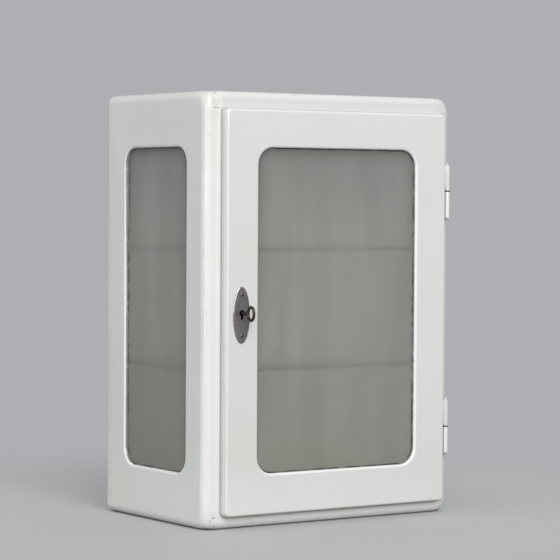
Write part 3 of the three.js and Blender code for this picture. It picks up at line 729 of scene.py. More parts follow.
def frosted_glass(name, dull, light, low_tint, high_tint):
    """Ground glass, grey-green, lighter towards its top, with soft upright bands and a dark uneven line
    where it meets the lip. The lighter top is painted light; the darker, warmer foot and the darkening inside
    the lip, most at the top, are painted shade."""
    glass = Finish(name)
    bands = glass.noise(1.0, 2.0, stretch=(17, 17, 2.6))
    grains = glass.noise(2400.0, 1.0)
    breaks = glass.noise(75.0, 3.0)
    colour = glass.mixed(glass.between(bands, 0.3, 0.7), dull, light)
    # Painted light and shade: lighter towards the top, darker and warmer towards the foot
    tint = glass.mixed(glass.mark("height"), low_tint, high_tint)
    colour = glass.mixed(1.0, colour, tint, "MULTIPLY")
    colour = glass.mixed(glass.mark("shade"), colour, PANE_SHADE)
    line = glass.times(glass.between(glass.mark("rim"), 0.35, 0.85), glass.between(breaks, 0.42, 0.56))
    glass.settings(
        Base_Color=glass.mixed(glass.times(line, 0.85), colour, PANE_LINE),
        Roughness=0.24,
        Transmission_Weight=0.75,
        IOR=1.45,
        Normal=glass.bump(grains, 0.00003),
    )
    glass.lets_lamps_through(PANE_LIGHT)
    return glass.material


def clear_glass(name):
    """Plain shelf glass with faint smears, its ground edges dull and dark green."""
    glass = Finish(name)
    smears = glass.noise(28.0, 3.0)
    edge = glass.mark("edge")
    gloss = glass.between(smears, 0.35, 0.75, 0.02, 0.09)
    glass.settings(
        Base_Color=glass.mixed(edge, SHELF_TONE, SHELF_EDGE_TONE),
        Roughness=glass.plus(gloss, glass.times(edge, 0.3)),
        Transmission_Weight=glass.minus(1.0, glass.times(edge, 0.7)),
        IOR=1.5,
    )
    glass.lets_lamps_through(SHELF_LIGHT)
    return glass.material


def metal(name, bright, dull, rough, fine, coarse, grain):
    """Bare metal: a bright and a dull tone in coarse patches, fine grain of a given height, uneven gloss, and
    smoother edges, painted brighter as a painted highlight, where they are marked."""
    finish = Finish(name)
    patches = finish.noise(coarse, 4.0, 0.6)
    specks = finish.noise(fine, 2.0, 0.6)
    edge = finish.mark("edge")
    colour = finish.mixed(finish.between(patches, 0.34, 0.66), bright, dull)
    gloss = finish.between(specks, 0.25, 0.75, rough - 0.07, rough + 0.09)
    finish.settings(
        # Painted highlight where edges are marked
        Base_Color=finish.mixed(edge, colour, STEEL_HIGHLIGHT),
        Metallic=1.0,
        Roughness=finish.minus(gloss, finish.times(edge, 0.25)),
        Normal=finish.bump(specks, grain),
    )
    return finish.material


CASE_ENAMEL = enamel("case_enamel", (0.81, 0.81, 0.797, 1), (0.785, 0.782, 0.752, 1))
DOOR_ENAMEL = enamel("door_enamel", (0.748, 0.745, 0.735, 1), (0.727, 0.722, 0.70, 1))
DOOR_FROSTED = frosted_glass(
    "door_frosted",
    dull=(0.548, 0.539, 0.509, 1),
    light=(0.634, 0.621, 0.592, 1),
    low_tint=(0.935, 0.93, 0.915, 1),
    high_tint=(1.09, 1.1, 1.13, 1),
)
SIDE_FROSTED = frosted_glass(
    "side_frosted",
    dull=(0.54, 0.547, 0.517, 1),
    light=(0.622, 0.627, 0.599, 1),
    low_tint=(0.89, 0.885, 0.82, 1),
    high_tint=(1.25, 1.25, 1.275, 1),
)
SHELF_GLASS = clear_glass("shelf_glass")
PLATE_STEEL = metal("plate_steel", (0.30, 0.29, 0.27, 1), (0.2, 0.19, 0.175, 1), 0.5, 900, 420, 5e-5)
SCREW_STEEL = metal("screw_steel", (0.2, 0.19, 0.18, 1), (0.09, 0.085, 0.08, 1), 0.42, 500, 300, 3e-5)
BLACKED_STEEL = metal("blacked_steel", (0.03, 0.03, 0.03, 1), (0.015, 0.015, 0.015, 1), 0.6, 500, 300, 2e-5)
ZINC = metal("zinc", (0.52, 0.53, 0.53, 1), (0.38, 0.39, 0.39, 1), 0.4, 400, 220, 2e-5)
KEY_IRON = metal("key_iron", (0.135, 0.108, 0.088, 1), (0.045, 0.038, 0.033, 1), 0.38, 700, 420, 6e-5)


# Case
def graded(stops, steps):
    """Grid lines through every stop, evenly spaced between two and no wider than the step given there."""
    lines = []
    for start, stop, step in zip(stops, stops[1:], steps):
        count = max(1, math.ceil(abs(stop - start) / step - WELD))
        lines.append(np.linspace(start, stop, count, endpoint=False))
    return np.concatenate(lines + [np.array(stops[-1:])])


def matched_outline(corners, edges, radius):
    """The rounded outline inside a rectangle, one station for each point of the rectangle's edge.
    Beside a straight stretch a station lies square to the edge; past it, a corner's quarter turn is
    shared out by the distance run round the rectangle's own corner."""
    left, right, low, high = edges
    middle = np.array([(left + right) / 2, (low + high) / 2])
    core = np.array([(right - left) / 2 - radius, (high - low) / 2 - radius])
    away = corners - middle
    sign = np.where(away < 0, -1.0, 1.0)
    outer = np.abs(away).max(axis=0)
    past = np.clip(np.abs(away) - core, 0, None)
    room = outer - core
    on_upright = np.isclose(np.abs(away[:, 0]), outer[0])
    run = np.where(on_upright, past[:, 1], room[1] + room[0] - past[:, 0])
    angle = run / room.sum() * math.pi / 2
    pivots = middle + sign * np.minimum(np.abs(away), core)
    outward = sign * stacked(np.cos(angle), np.sin(angle))
    return pivots, outward, radius


def rectangle_loop(across, upward):
    """Points round a rectangle's edge, anticlockwise from its low left corner, on the given grid lines."""
    low = stacked(across[:-1], upward[0])
    right = stacked(across[-1], upward[:-1])
    high = stacked(across[:0:-1], upward[-1])
    left = stacked(across[0], upward[:0:-1])
    return np.concatenate([low, right, high, left])


def sunk(points, inward):
    """Points of a face pushed in by its dents."""
    return points + dents(points)[..., None] * inward


def within(lines, low, high):
    """The grid lines from low to high, both ends taken."""
    return lines[(lines > low - WELD) & (lines < high + WELD)]


def midway(lines, low, high):
    """Whether the middle between each two neighbouring lines lies between low and high."""
    middle = (lines[:-1] + lines[1:]) / 2
    return (middle > low) & (middle < high)


# The case's core, inside the rounding of its edges, its openings and its grid lines
core_x = half_width - CASE_ROUND
core_y = case_front + CASE_ROUND
core_top = case_height - CASE_ROUND
core_back = case_back - CASE_ROUND * math.sin(math.radians(CURL_TURN))
mouth_left = door_low[0] + OPENING_LAP - RETURN_ROUND
mouth_right = door_high[0] - OPENING_LAP + RETURN_ROUND
mouth_low = door_low[2] + OPENING_LAP - RETURN_ROUND
mouth_high = door_high[2] - OPENING_LAP + RETURN_ROUND
near, far, low, high = right_window
window_y = (near - WINDOW_MARGIN, near + WINDOW_CORNER, far - WINDOW_CORNER, far + WINDOW_MARGIN)
window_z = (low - WINDOW_MARGIN, low + WINDOW_CORNER, high - WINDOW_CORNER, high + WINDOW_MARGIN)
wall_y = graded(
    [core_back, *window_y[::-1], core_y + GUARD, core_y],
    [COARSE_STEP, FINE_STEP, COARSE_STEP, FINE_STEP, COARSE_STEP, GUARD],
)
front_x = graded(
    [-core_x, door_low[0] - RELIEF_REACH, door_low[0], mouth_left, mouth_right, door_high[0], core_x],
    [FINE_STEP, RELIEF_STEP, FINE_STEP, COARSE_STEP, FINE_STEP, RELIEF_STEP],
)
sill, head = door_low[2], door_high[2]
heights = graded(
    [CASE_ROUND, sill, mouth_low, *window_z, mouth_high, head, head + RELIEF_REACH, core_top],
    [RELIEF_STEP, *[FINE_STEP, COARSE_STEP] * 3, FINE_STEP, RELIEF_STEP, FINE_STEP],
)


def window_patch(patchwork, across, upward, edges, face, seed):
    """From a rectangle of grid lines to a window's rounded opening, then round its lip. Dark specks run out
    from the lip's end along the rear upright, most of them high up."""
    corners = rectangle_loop(across, upward)
    outline = matched_outline(corners, edges, WINDOW_CORNER)
    offsets, depths = lip_section(waver(lengths_round(outline), seed))
    lip = carried(outline, offsets, depths, face)
    border = on_face(face, corners, np.zeros(len(corners)))
    share = np.array([0.0, 0.4, 0.8])[:, None, None]
    flat = border + (lip[0] - border) * share
    grid = sunk(np.concatenate([flat, lip]), face[2])
    down_lip = np.concatenate([np.zeros((len(flat), 1)), lip_marks(len(lip))])
    rear = np.clip(2 * outline[1][:, 0] * face[1][1], 0, 1)
    high_up = SPECKS_SHARE + (1 - SPECKS_SHARE) * ramp(grid[..., 2], SPECKS_LOW, SPECKS_FADE)
    patchwork.add(
        grid,
        wrap_columns=True,
        lip=down_lip,
        wear=LIP_WEAR * np.sin(math.pi * down_lip),
        # Painted light on the sides
        bleached=painted_side_light(grid),
        grimy=down_lip * rear * high_up,
    )


def case_section():
    """The case's section from above, from the rear of the left wall round the front to the rear of the right
    wall: the points its stations turn about, and their headings, 0 in front and a quarter turn at a wall."""
    turn = np.linspace(0, math.pi / 2, CORNER_STEPS + 1)
    line_turn = np.radians(LINE_TURN + LINE_SPREAD * np.linspace(-2, 2, LINE_STEPS + 1))
    inner_turn = np.unique(np.concatenate([turn, line_turn]))[1:-1]
    wall_x = np.full(len(wall_y) + len(inner_turn), core_x)
    corner_y = np.full(len(inner_turn), core_y)
    wall = np.full(len(wall_y), math.pi / 2)
    corner = math.pi / 2 - inner_turn
    base_x = np.concatenate([-wall_x, front_x, wall_x])
    base_y = np.concatenate([wall_y, corner_y, np.full(len(front_x), core_y), corner_y, wall_y[::-1]])
    heading = np.concatenate([-wall, -corner, np.zeros(len(front_x)), corner[::-1], wall])
    return base_x, base_y, heading


def case_rise():
    """The case from its foot to its top: the heights its rows turn about, and their tilts, 0 on the walls and
    a quarter turn down at the foot or up at the top."""
    turn = np.linspace(0, math.pi / 2, CORNER_STEPS + 1)
    base_z = np.concatenate([np.full(CORNER_STEPS, CASE_ROUND), heights, np.full(CORNER_STEPS, core_top)])
    tilt = np.concatenate([turn[:-1] - math.pi / 2, np.zeros(len(heights)), turn[1:]])
    return base_z, tilt


def case_openings(base_x, base_y, base_z, heading, tilt):
    """Whether each face of the case lies in the mouth behind the door or in the rectangle round a window."""
    on_wall = (tilt[:-1] == 0) & (tilt[1:] == 0)
    on_front = (heading[:-1] == 0) & (heading[1:] == 0)
    on_side = np.isclose(np.abs(heading[:-1] + heading[1:]), math.pi)
    mouth_rows = on_wall & midway(base_z, mouth_low, mouth_high)
    mouth_columns = on_front & midway(base_x, mouth_left, mouth_right)
    window_rows = on_wall & midway(base_z, window_z[0], window_z[-1])
    window_columns = on_side & midway(base_y, window_y[0], window_y[-1])
    return (mouth_rows[:, None] & mouth_columns) | (window_rows[:, None] & window_columns)


def highlight_stretch(height):
    """1 where the painted highlight line shows on the front bends, running out at both ends."""
    return ramp(height, HIGHLIGHT_LOW, HIGHLIGHT_FADE) * ramp(height, HIGHLIGHT_HIGH, -HIGHLIGHT_FADE)


def bend_paint(heading, tilt, height):
    """Painted light and shade on the case's front bends. A painted highlight line of wavering place and
    strength runs up each, a bell curve that is narrow towards the side and wide towards the front. Past it
    lies painted shade, short of it a fainter band of painted shade, and flakes are off beside it. Gives the
    facet under the line, the highlight line, the painted shade and the flakes."""
    from_line = (np.degrees(np.abs(heading)) - 90 + LINE_TURN) / LINE_SPREAD
    strength = np.clip(2.4 * waver(height, 2.7) - 0.4, 0.3, 1) * np.cos(tilt)[:, None] ** 2
    facet = np.exp(-(from_line + FACET_SHIFT) ** 2) * strength
    from_line = from_line + 2 * waver(height, 6.3) - 1
    sideward = from_line > 0
    line = np.exp(-(from_line / np.where(sideward, LINE_EDGE, LINE_FADE)) ** 2) * strength
    past = PAST_SHARE * ramp(from_line, 0, LINE_EDGE) * np.exp(-from_line / PAST_FADE)
    band = BAND_SHARE * np.exp(-((from_line + BAND_PLACE) / BAND_WIDTH) ** 2)
    dull = np.maximum(past, band) * strength * highlight_stretch(height)
    flakes = np.exp(-((from_line - FLAKE_PLACE) / FLAKE_WIDTH) ** 2) * ramp(waver(height, 8.8), 0.5, 0.25)
    return facet, line, dull, flakes * highlight_stretch(height)


def crazing(grid, heading):
    """Crazed paint on the lock stile, most at its foot and its head, dying away from both."""
    x, _, z = np.moveaxis(grid, -1, 0)
    on_stile = ramp(x, door_low[0], -RELIEF_REACH) * np.sqrt(np.cos(heading))
    return on_stile * (np.exp(-z / CRAZED_LOW) + CRAZED_SHARE * np.exp((z - case_height) / CRAZED_HIGH))


def rail_dullness(grid, heading, tilt):
    """Darker on the top rail, from the lock stile on, and painted shade on the stile behind the hinges,
    where the door's shadow falls.
    """
    x, _, z = np.moveaxis(grid, -1, 0)
    ahead = np.cos(tilt)[:, None] * np.cos(heading)
    top_rail = ramp(z, door_high[2] - RAIL_FADE, RAIL_FADE) * ramp(x, door_low[0], RAIL_FADE)
    hinge_stile = ramp(x, door_high[0], RAIL_FADE) * np.cos(heading)
    return np.maximum(top_rail * ahead ** 4, hinge_stile)


def rear_curl(base_z, tilt):
    """The case's rear edge, rolled inwards: an arc carried up the left wall, over the top, down the right
    wall and back along the bottom."""
    upright = stacked(core_x, core_back, base_z)
    level = stacked(front_x[1:-1], core_back, core_top)
    lean = stacked(np.cos(tilt), 0.0, np.sin(tilt))
    over = np.tile(UP, (len(level), 1))
    mirrored = np.array([-1.0, 1.0, 1.0])
    lowered = (CASE_ROUND - core_top) * UP
    pivots = np.concatenate([upright * mirrored, level, upright[::-1], level[::-1] + lowered])
    spokes = np.concatenate([lean * mirrored, over, lean[::-1], -over])
    curl = np.radians(np.linspace(0, CURL_TURN, CURL_STEPS + 1))[:, None, None]
    outward = np.cos(curl) * spokes + np.sin(curl) * Y_AXIS
    rolled = pivots + CASE_ROUND * outward
    return rolled - dents(rolled)[..., None] * outward


def mouth_fold():
    """The fold round the mouth of the case: a quarter bend inwards, then a short straight wall."""
    corners = rectangle_loop(within(front_x, mouth_left, mouth_right), within(heights, mouth_low, mouth_high))
    at_low = np.isclose(corners, [mouth_left, mouth_low])
    at_high = np.isclose(corners, [mouth_right, mouth_high])
    inwards = at_low.astype(float) - at_high
    turned, depth = bend(0.0, RETURN_ROUND, RETURN_ROUND, 90, 0, steps=EASE_STEPS)
    turned = np.append(turned, RETURN_ROUND)
    depth = np.append(depth, RETURN_DEPTH) + GROOVE_DEPTH
    folded = corners + inwards * turned[:, None, None]
    fold = on_face(front_face, folded, np.broadcast_to(depth[:, None], folded.shape[:2]))
    return sunk(fold, front_face[2])


def case_shell():
    """The whole outer case: a section of left wall, front and right wall with round corners, drawn up from a
    rounded foot to a rounded top and pressed in by its dents, corners, relief and facets. A flat top and
    bottom close it, and at the open back all four sides curl inwards by an eighth of a turn."""
    base_x, base_y, heading = case_section()
    base_z, tilt = case_rise()
    level = np.cos(tilt)[:, None]
    outward = stacked(level * np.sin(heading), -level * np.cos(heading), np.sin(tilt)[:, None])
    grid = stacked(base_x, base_y, base_z[:, None]) + CASE_ROUND * outward
    on_front = (tilt == 0)[:, None] & (heading == 0)
    relief, seam, bead = (np.where(on_front, given, 0.0) for given in front_relief(grid))
    facet, line, dull, flakes = bend_paint(heading, tilt, grid[..., 2])
    pressed = dents(grid) + corner_pull(grid) + relief + FACET_DEPTH * facet
    worn = np.maximum(np.abs(np.sin(2 * tilt))[:, None], np.abs(np.sin(2 * heading)))
    crazed = crazing(grid, heading)
    shell = Patchwork()
    shell.add(
        grid - pressed[..., None] * outward,
        keep=~case_openings(base_x, base_y, base_z, heading, tilt),
        wear=np.maximum(worn, crazed),
        seam=np.maximum(seam, flakes * (grid[..., 0] < 0)),
        # Painted highlights along the bend lines and the stile's bead
        ridge=np.maximum(line, bead) * highlight_stretch(grid[..., 2]),
        # Painted contact shadow on the underside of the foot's rounding
        foot=ramp(-np.degrees(tilt), FOOT_TILT, FOOT_FADE)[:, None],
        crazed=crazed,
        # Painted shade beside the bend lines and behind the hinges, and a darker top rail
        dull=np.maximum(rail_dullness(grid, heading, tilt), dull),
        # Painted light on the sides, by how far they face sideways
        bleached=np.sin(heading) ** 2 * painted_side_light(grid),
    )
    for height, down in ((case_height, -UP), (0.0, UP)):
        flat = stacked(front_x, wall_y[:, None], height)
        shell.add(sunk(flat, down) + corner_pull(flat)[..., None] * down)
    shell.add(rear_curl(base_z, tilt), wrap_columns=True, wear=EDGE_WEAR)
    across = within(wall_y, window_y[0], window_y[-1])
    upward = within(heights, window_z[0], window_z[-1])
    window_patch(shell, np.sort(-across), upward, left_window, left_face, 3.0)
    window_patch(shell, np.sort(across), upward, right_window, right_face, 5.0)
    shell.add(mouth_fold(), wrap_columns=True, wear=EDGE_WEAR)
    return shell


def add_studs(patchwork, face, places, start, stop):
    """Short studs with a bevelled tip, standing inwards from a face."""
    bevel = STUD_RADIUS * STUD_BEVEL
    radius = [0, STUD_RADIUS, STUD_RADIUS, STUD_RADIUS - bevel, 0]
    depth = [start, start, stop - bevel, stop, stop]
    across, upward, place = lathe(radius, depth, STUD_STEPS)
    for centre in places:
        flat = stacked(across + centre[0], upward + centre[1])
        patchwork.add(on_face(face, flat, place), wrap_columns=True)


def upright_studs(edges):
    """Two studs beside each upright of a window, at its quarter heights."""
    left, right, low, high = edges
    quarter = (high - low) / 4
    return [
        (side, low + quarter * step)
        for side in (left - STUD_OFFSET, right + STUD_OFFSET)
        for step in (1, 3)
    ]


case_piece = make_piece("case_shell", case_shell(), CASE_ENAMEL, "case", CASE_PANELS)
thick = case_piece.modifiers.new("sheet", "SOLIDIFY")
thick.thickness = SHEET
thick.offset = -1
thick.use_even_offset = True
settle(case_piece)

side_studs = Patchwork()
for side_face, side_window, side_nut in (
    (left_face, left_window, "left_pane_nut_1"),
    (right_face, right_window, "right_pane_nut_1"),
):
    stud_tip = depths_of(side_nut, side_face)[1] + STUD_TIP
    add_studs(side_studs, side_face, upright_studs(side_window), SHEET, stud_tip)
make_piece("side_studs", side_studs, ZINC, "case", [])


# Back panel
def back_panel():
    """A shallow pan: a flat sheet whose edge bends forwards into a rim, closed by its own inner side."""
    edges = (-half_width + BACK_SET, half_width - BACK_SET, BACK_SET, case_height - BACK_SET)
    outline = rounded_outline(edges, CASE_ROUND - BACK_SET)
    inner = BACK_ROUND - SHEET
    offsets, depths = section(
        (-BACK_ROUND - GUARD, 0.0),
        bend(-BACK_ROUND, BACK_ROUND, BACK_ROUND, 90, 0),
        (0.0, BACK_RIM),
        (-SHEET, BACK_RIM),
        bend(-BACK_ROUND, BACK_ROUND, inner, 0, 90),
        (-BACK_ROUND - GUARD, SHEET),
    )
    ring = carried(outline, offsets, depths, back_face)
    middle = np.array([0, 0, case_height / 2])
    share = np.array([0.0, 0.35, 0.7])[:, None, None]
    outer = middle + (ring[0] - middle) * share
    outer[..., 1] = ring[0, 0, 1]
    inside = middle + (ring[-1] - middle) * share[::-1]
    inside[..., 1] = ring[-1, 0, 1]
    grid = np.concatenate([outer, ring, inside])
    worn = np.zeros((len(grid), 1))
    worn[len(outer):-len(inside)] = RIM_WEAR
    panel = Patchwork()
    panel.add(sunk(grid, back_face[2]), wrap_columns=True, wear=worn)
    return panel


make_piece("back_sheet", back_panel(), CASE_ENAMEL, "case", ["back_panel"])


# Panes and retainers
def plate_rows(edges, radius, face, reach, ease, insets=()):
    """A closed plate with rounded corners: its rows run from the middle of its front over the eased edge to
    the middle of its back. Gives the grid and each row's offset from the edge."""
    outline = rounded_outline(edges, radius)
    front, back = reach
    turned, sinking = bend(-ease, ease, ease, 90, 0, steps=EASE_STEPS)
    insets = np.array(insets)
    offsets = np.concatenate([insets, turned, turned[::-1], insets[::-1]])
    over = np.concatenate([front + 0 * insets, front + sinking])
    under = np.concatenate([back - sinking[::-1], back + 0 * insets])
    ring = carried(outline, offsets[:, None], np.concatenate([over, under])[:, None], face)
    middle = np.array([(edges[0] + edges[1]) / 2, (edges[2] + edges[3]) / 2])
    share = np.array([0.0, 0.5])[:, None, None]
    near = on_face(face, middle, np.array(front))
    outer = near + (ring[0] - near) * share
    inner = (outer + (back - front) * face[2])[::-1]
    ends = np.full(2, offsets[0] - ease)
    return np.concatenate([outer, ring, inner]), np.concatenate([ends, offsets, ends])


def pane_plate(pane, edges, face):
    """A flat pane with eased edges, marked where it runs in under the window's lip, where the lip shades it
    and by its height in the window."""
    left, right, low, high = edges
    lapped = (left - PANE_LAP, right + PANE_LAP, low - PANE_LAP, high + PANE_LAP)
    insets = np.array(PANE_ROWS) - PANE_LAP
    reach = depths_of(pane, face)
    grid, offsets = plate_rows(lapped, WINDOW_CORNER + PANE_LAP, face, reach, PANE_EDGE, insets)
    from_lip = offsets[:, None] + PANE_LAP
    height = ramp(grid[..., 2], low, high - low)
    fade = np.interp(from_lip, SHADE_PLACES, SHADE_SHARES)
    plate = Patchwork()
    plate.add(
        grid,
        wrap_columns=True,
        rim=ramp(from_lip, RIM_START, RIM_FULL - RIM_START),
        shade=fade * (SHADE_LOW + (1 - SHADE_LOW) * height ** 4),
        height=height,
    )
    return plate


def retainer_ring(retainer, edges, face):
    """A flat frame behind a pane, with eased edges."""
    front, back = depths_of(retainer, face)
    outline = rounded_outline(edges, WINDOW_CORNER)
    inner = RETAINER_INSET
    outer = RETAINER_WIDTH
    ease = RETAINER_EDGE
    offsets = np.array([inner + ease, outer - ease, outer, outer, outer - ease, inner + ease, inner, inner])
    depths = np.array([front, front, front + ease, back - ease, back, back, back - ease, front + ease])
    ring = Patchwork()
    ring.add(
        carried(outline, offsets[:, None], depths[:, None], face),
        wrap_rows=True,
        wrap_columns=True,
        wear=EDGE_WEAR,
    )
    return ring


for pane_name, pane_edges, pane_face, pane_body, frosted, paint in (
    ("door_pane", door_window, door_face, "door", DOOR_FROSTED, DOOR_ENAMEL),
    ("left_pane", left_window, left_face, "case", SIDE_FROSTED, CASE_ENAMEL),
    ("right_pane", right_window, right_face, "case", SIDE_FROSTED, CASE_ENAMEL),
):
    plate = pane_plate(pane_name, pane_edges, pane_face)
    make_piece(f"{pane_name}_frosted", plate, frosted, pane_body, [pane_name])
    holder = f"{pane_name}_retainer"
    frame_ring = retainer_ring(holder, pane_edges, pane_face)
    make_piece(f"{holder}_frame", frame_ring, paint, pane_body, [holder])


# Door
def door_skin():
    """A pan with a window: a closed section of rim, face and lip, its outer part carried round the
    door's outline and its inner part round the window's, with straight lines between the two. The rim
    leans inwards as it rises and has a bead, a bell curve, below its bend. Rust lies along the bend at
    the foot of the door."""
    edges = (door_low[0], door_high[0], door_low[2], door_high[2])
    outline = rounded_outline(edges, DOOR_CORNER)
    opening = rounded_outline(door_window, WINDOW_CORNER)
    fall = np.linspace(door_rim, DOOR_ROUND, RIM_STEPS + 1)
    bead = np.exp(-((fall - RIM_BEAD_PLACE) / RIM_BEAD_WIDTH) ** 2)
    bulge = np.maximum(bead, ramp(fall, DOOR_ROUND + RIM_BEAD_WIDTH, -RIM_BEAD_WIDTH))
    risen = (door_rim - fall) / (door_rim - DOOR_ROUND)
    outer_rim = section(
        (RIM_BEAD * (bulge - 1) * (1 - risen / 2) - RIM_DRAFT * risen, fall),
        bend(-DOOR_ROUND - RIM_DRAFT, DOOR_ROUND, DOOR_ROUND, RIM_TURN, 90),
        (-DOOR_ROUND - RIM_DRAFT - GUARD, 0.0),
    )
    inner_rim = section(
        (-DOOR_ROUND - GUARD, SHEET),
        bend(-DOOR_ROUND, DOOR_ROUND, DOOR_ROUND - SHEET, 90, 0),
        (-SHEET, door_rim),
    )
    back_of_lip = section(
        (SHEET, LIP_DEPTH),
        bend(LIP_ROUND, LIP_ROUND, LIP_ROUND - SHEET, 180, 90),
        (LIP_ROUND + GUARD, SHEET),
    )
    rim_grid = carried(outline, *outer_rim, door_face)
    lip_grid = carried(opening, *lip_section(waver(lengths_round(opening), 1.7)), door_face)
    lip_back = carried(opening, *back_of_lip, door_face)
    rim_back = carried(outline, *inner_rim, door_face)
    share = np.linspace(0, 1, DOOR_STEPS + 1)[1:-1, None, None]
    face_grid = rim_grid[-1] + (lip_grid[0] - rim_grid[-1]) * share
    rows = np.concatenate([rim_grid, face_grid, lip_grid, lip_back, rim_back])
    lip = np.zeros((len(rows), 1))
    lip_start = len(rim_grid) + len(face_grid)
    lip[lip_start:lip_start + len(lip_grid)] = lip_marks(len(lip_grid))
    wear = LIP_WEAR * np.sin(math.pi * lip)
    bent = len(outer_rim[0])
    wear[:bent] = np.sin(np.linspace(0, math.pi, bent))[:, None]
    # Painted highlights: the rim all along, its bead fully, and the door's edge bend fading off
    ridge = np.zeros((len(rows), 1))
    ridge[len(fall):bent - 1, 0] = EDGE_HIGHLIGHT * np.linspace(1, 0, bent - 1 - len(fall))
    ridge[:len(fall), 0] = np.maximum(bead, RIM_HIGHLIGHT)
    rust = np.zeros((len(rows), len(outline[1])))
    rust[len(fall) - RUST_BEFORE:len(fall) + RUST_AFTER] = np.clip(-outline[1][:, 1], 0, 1)
    skin = Patchwork()
    skin.add(
        sunk(rows, door_face[2]),
        wrap_rows=True,
        wrap_columns=True,
        lip=lip,
        wear=wear,
        ridge=ridge * (1 - rust),
        rust=rust,
        stained=staining(rows),
    )
    left, right, low, high = door_window
    rails = [((left + right) / 2, low - STUD_OFFSET), ((left + right) / 2, high + STUD_OFFSET)]
    tip = depths_of("door_pane_nut_1", door_face)[1] + STUD_TIP
    add_studs(skin, door_face, upright_studs(door_window) + rails, SHEET, tip)
    return skin


# Lock fittings on the face of the door
key_axis = (door_face[0] + key_x * X_AXIS + key_z * UP, X_AXIS, Y_AXIS)


def keyhole_angles():
    """Directions round a keyhole: even steps, and every corner of its outline."""
    eye = math.acos(SLOT_HALF / EYE_RADIUS)
    foot = math.atan2(SLOT_FOOT, SLOT_HALF)
    corners = np.array([-eye, eye - math.pi, -foot, foot - math.pi])
    even = np.linspace(-math.pi, math.pi, KEYHOLE_STEPS, endpoint=False)
    return np.sort(np.concatenate([even, corners]))


def keyhole_reach(angle, play=0.0):
    """How far a keyhole runs from the middle of its eye: the eye's radius, or to the slot's sides or foot."""
    down = -np.sin(angle)
    side = (SLOT_HALF + play) / np.maximum(np.abs(np.cos(angle)), WELD)
    foot = np.where(down > 0, (SLOT_FOOT + play) / np.maximum(down, WELD), 0.0)
    return np.maximum(EYE_RADIUS + play, np.minimum(side, foot))


def polar(angle, reach, face, depth):
    """Points round a face's origin at the given directions, distances and depths."""
    flat = stacked(np.cos(angle) * reach, np.sin(angle) * reach)
    return on_face(face, flat, np.broadcast_to(depth, flat.shape[:-1]))


def keyhole_cutter():
    """A closed prism of the keyhole's outline through the skin of the door."""
    angle = keyhole_angles()
    share = np.array([0, 1, 1, 0])[:, None]
    depth = np.array([-SHEET, -SHEET, 2 * SHEET, 2 * SHEET])[:, None]
    prism = Patchwork()
    prism.add(polar(angle, share * keyhole_reach(angle, KEYHOLE_PLAY), key_axis, depth), wrap_columns=True)
    return prism.mesh("keyhole")


door_piece = make_piece("door_pan", door_skin(), DOOR_ENAMEL, "door", ["door_skin"])
cutter = add_object("keyhole", keyhole_cutter())
keyhole = door_piece.modifiers.new("keyhole", "BOOLEAN")
keyhole.operation = "DIFFERENCE"
keyhole.object = cutter
settle(door_piece)
bpy.data.objects.remove(cutter)


def escutcheon_plate():
    """An oval plate, slightly domed, from its keyhole out to a rounded edge, which is smoother and carries a
    painted highlight above. Each direction from the eye runs from the keyhole's outline to the oval, the
    positive root of its quadratic equation."""
    low, high = span("escutcheon")
    front, back = depths_of("escutcheon", door_face)
    half_x, half_z = (high[0] - low[0]) / 2, (high[2] - low[2]) / 2
    drop = (low[2] + high[2]) / 2 - key_z
    angle = keyhole_angles()

    def oval(inset):
        wide, tall = half_x - inset, half_z - inset
        square = (np.cos(angle) / wide) ** 2 + (np.sin(angle) / tall) ** 2
        linear = np.sin(angle) * drop / tall ** 2
        return (linear + np.sqrt(linear ** 2 - square * ((drop / tall) ** 2 - 1))) / square

    hole = keyhole_reach(angle)
    share = np.linspace(0, 1, PLATE_STEPS + 1)[:, None]
    face_reach = hole + PLATE_EASE + (oval(PLATE_BEVEL) - hole - PLATE_EASE) * share
    face_depth = front + PLATE_DOME * share ** 2
    turn = np.linspace(0, math.pi / 2, PLATE_STEPS)[1:, None]
    edge_reach = oval(PLATE_BEVEL * (1 - np.sin(turn)))
    edge_depth = front + PLATE_DOME + (back - front - PLATE_DOME) * PLATE_FALL * (1 - np.cos(turn))
    reach = np.concatenate([hole[None], hole[None], face_reach, edge_reach, oval(0.0)[None]])
    depth = np.concatenate([[[back], [front + PLATE_EASE]], face_depth, edge_depth, [[back]]])
    plate = Patchwork()
    # Painted highlight on the upper part of the edge
    highlit = np.zeros(reach.shape)
    highlit[-len(turn) - 1:-1] = ramp(np.sin(angle), EDGE_LIGHT_START, EDGE_LIGHT_FADE)
    plate.add(polar(angle, reach, key_axis, depth), wrap_rows=True, wrap_columns=True, edge=highlit)
    return plate


make_piece("escutcheon_plate", escutcheon_plate(), PLATE_STEEL, "door", ["escutcheon"])


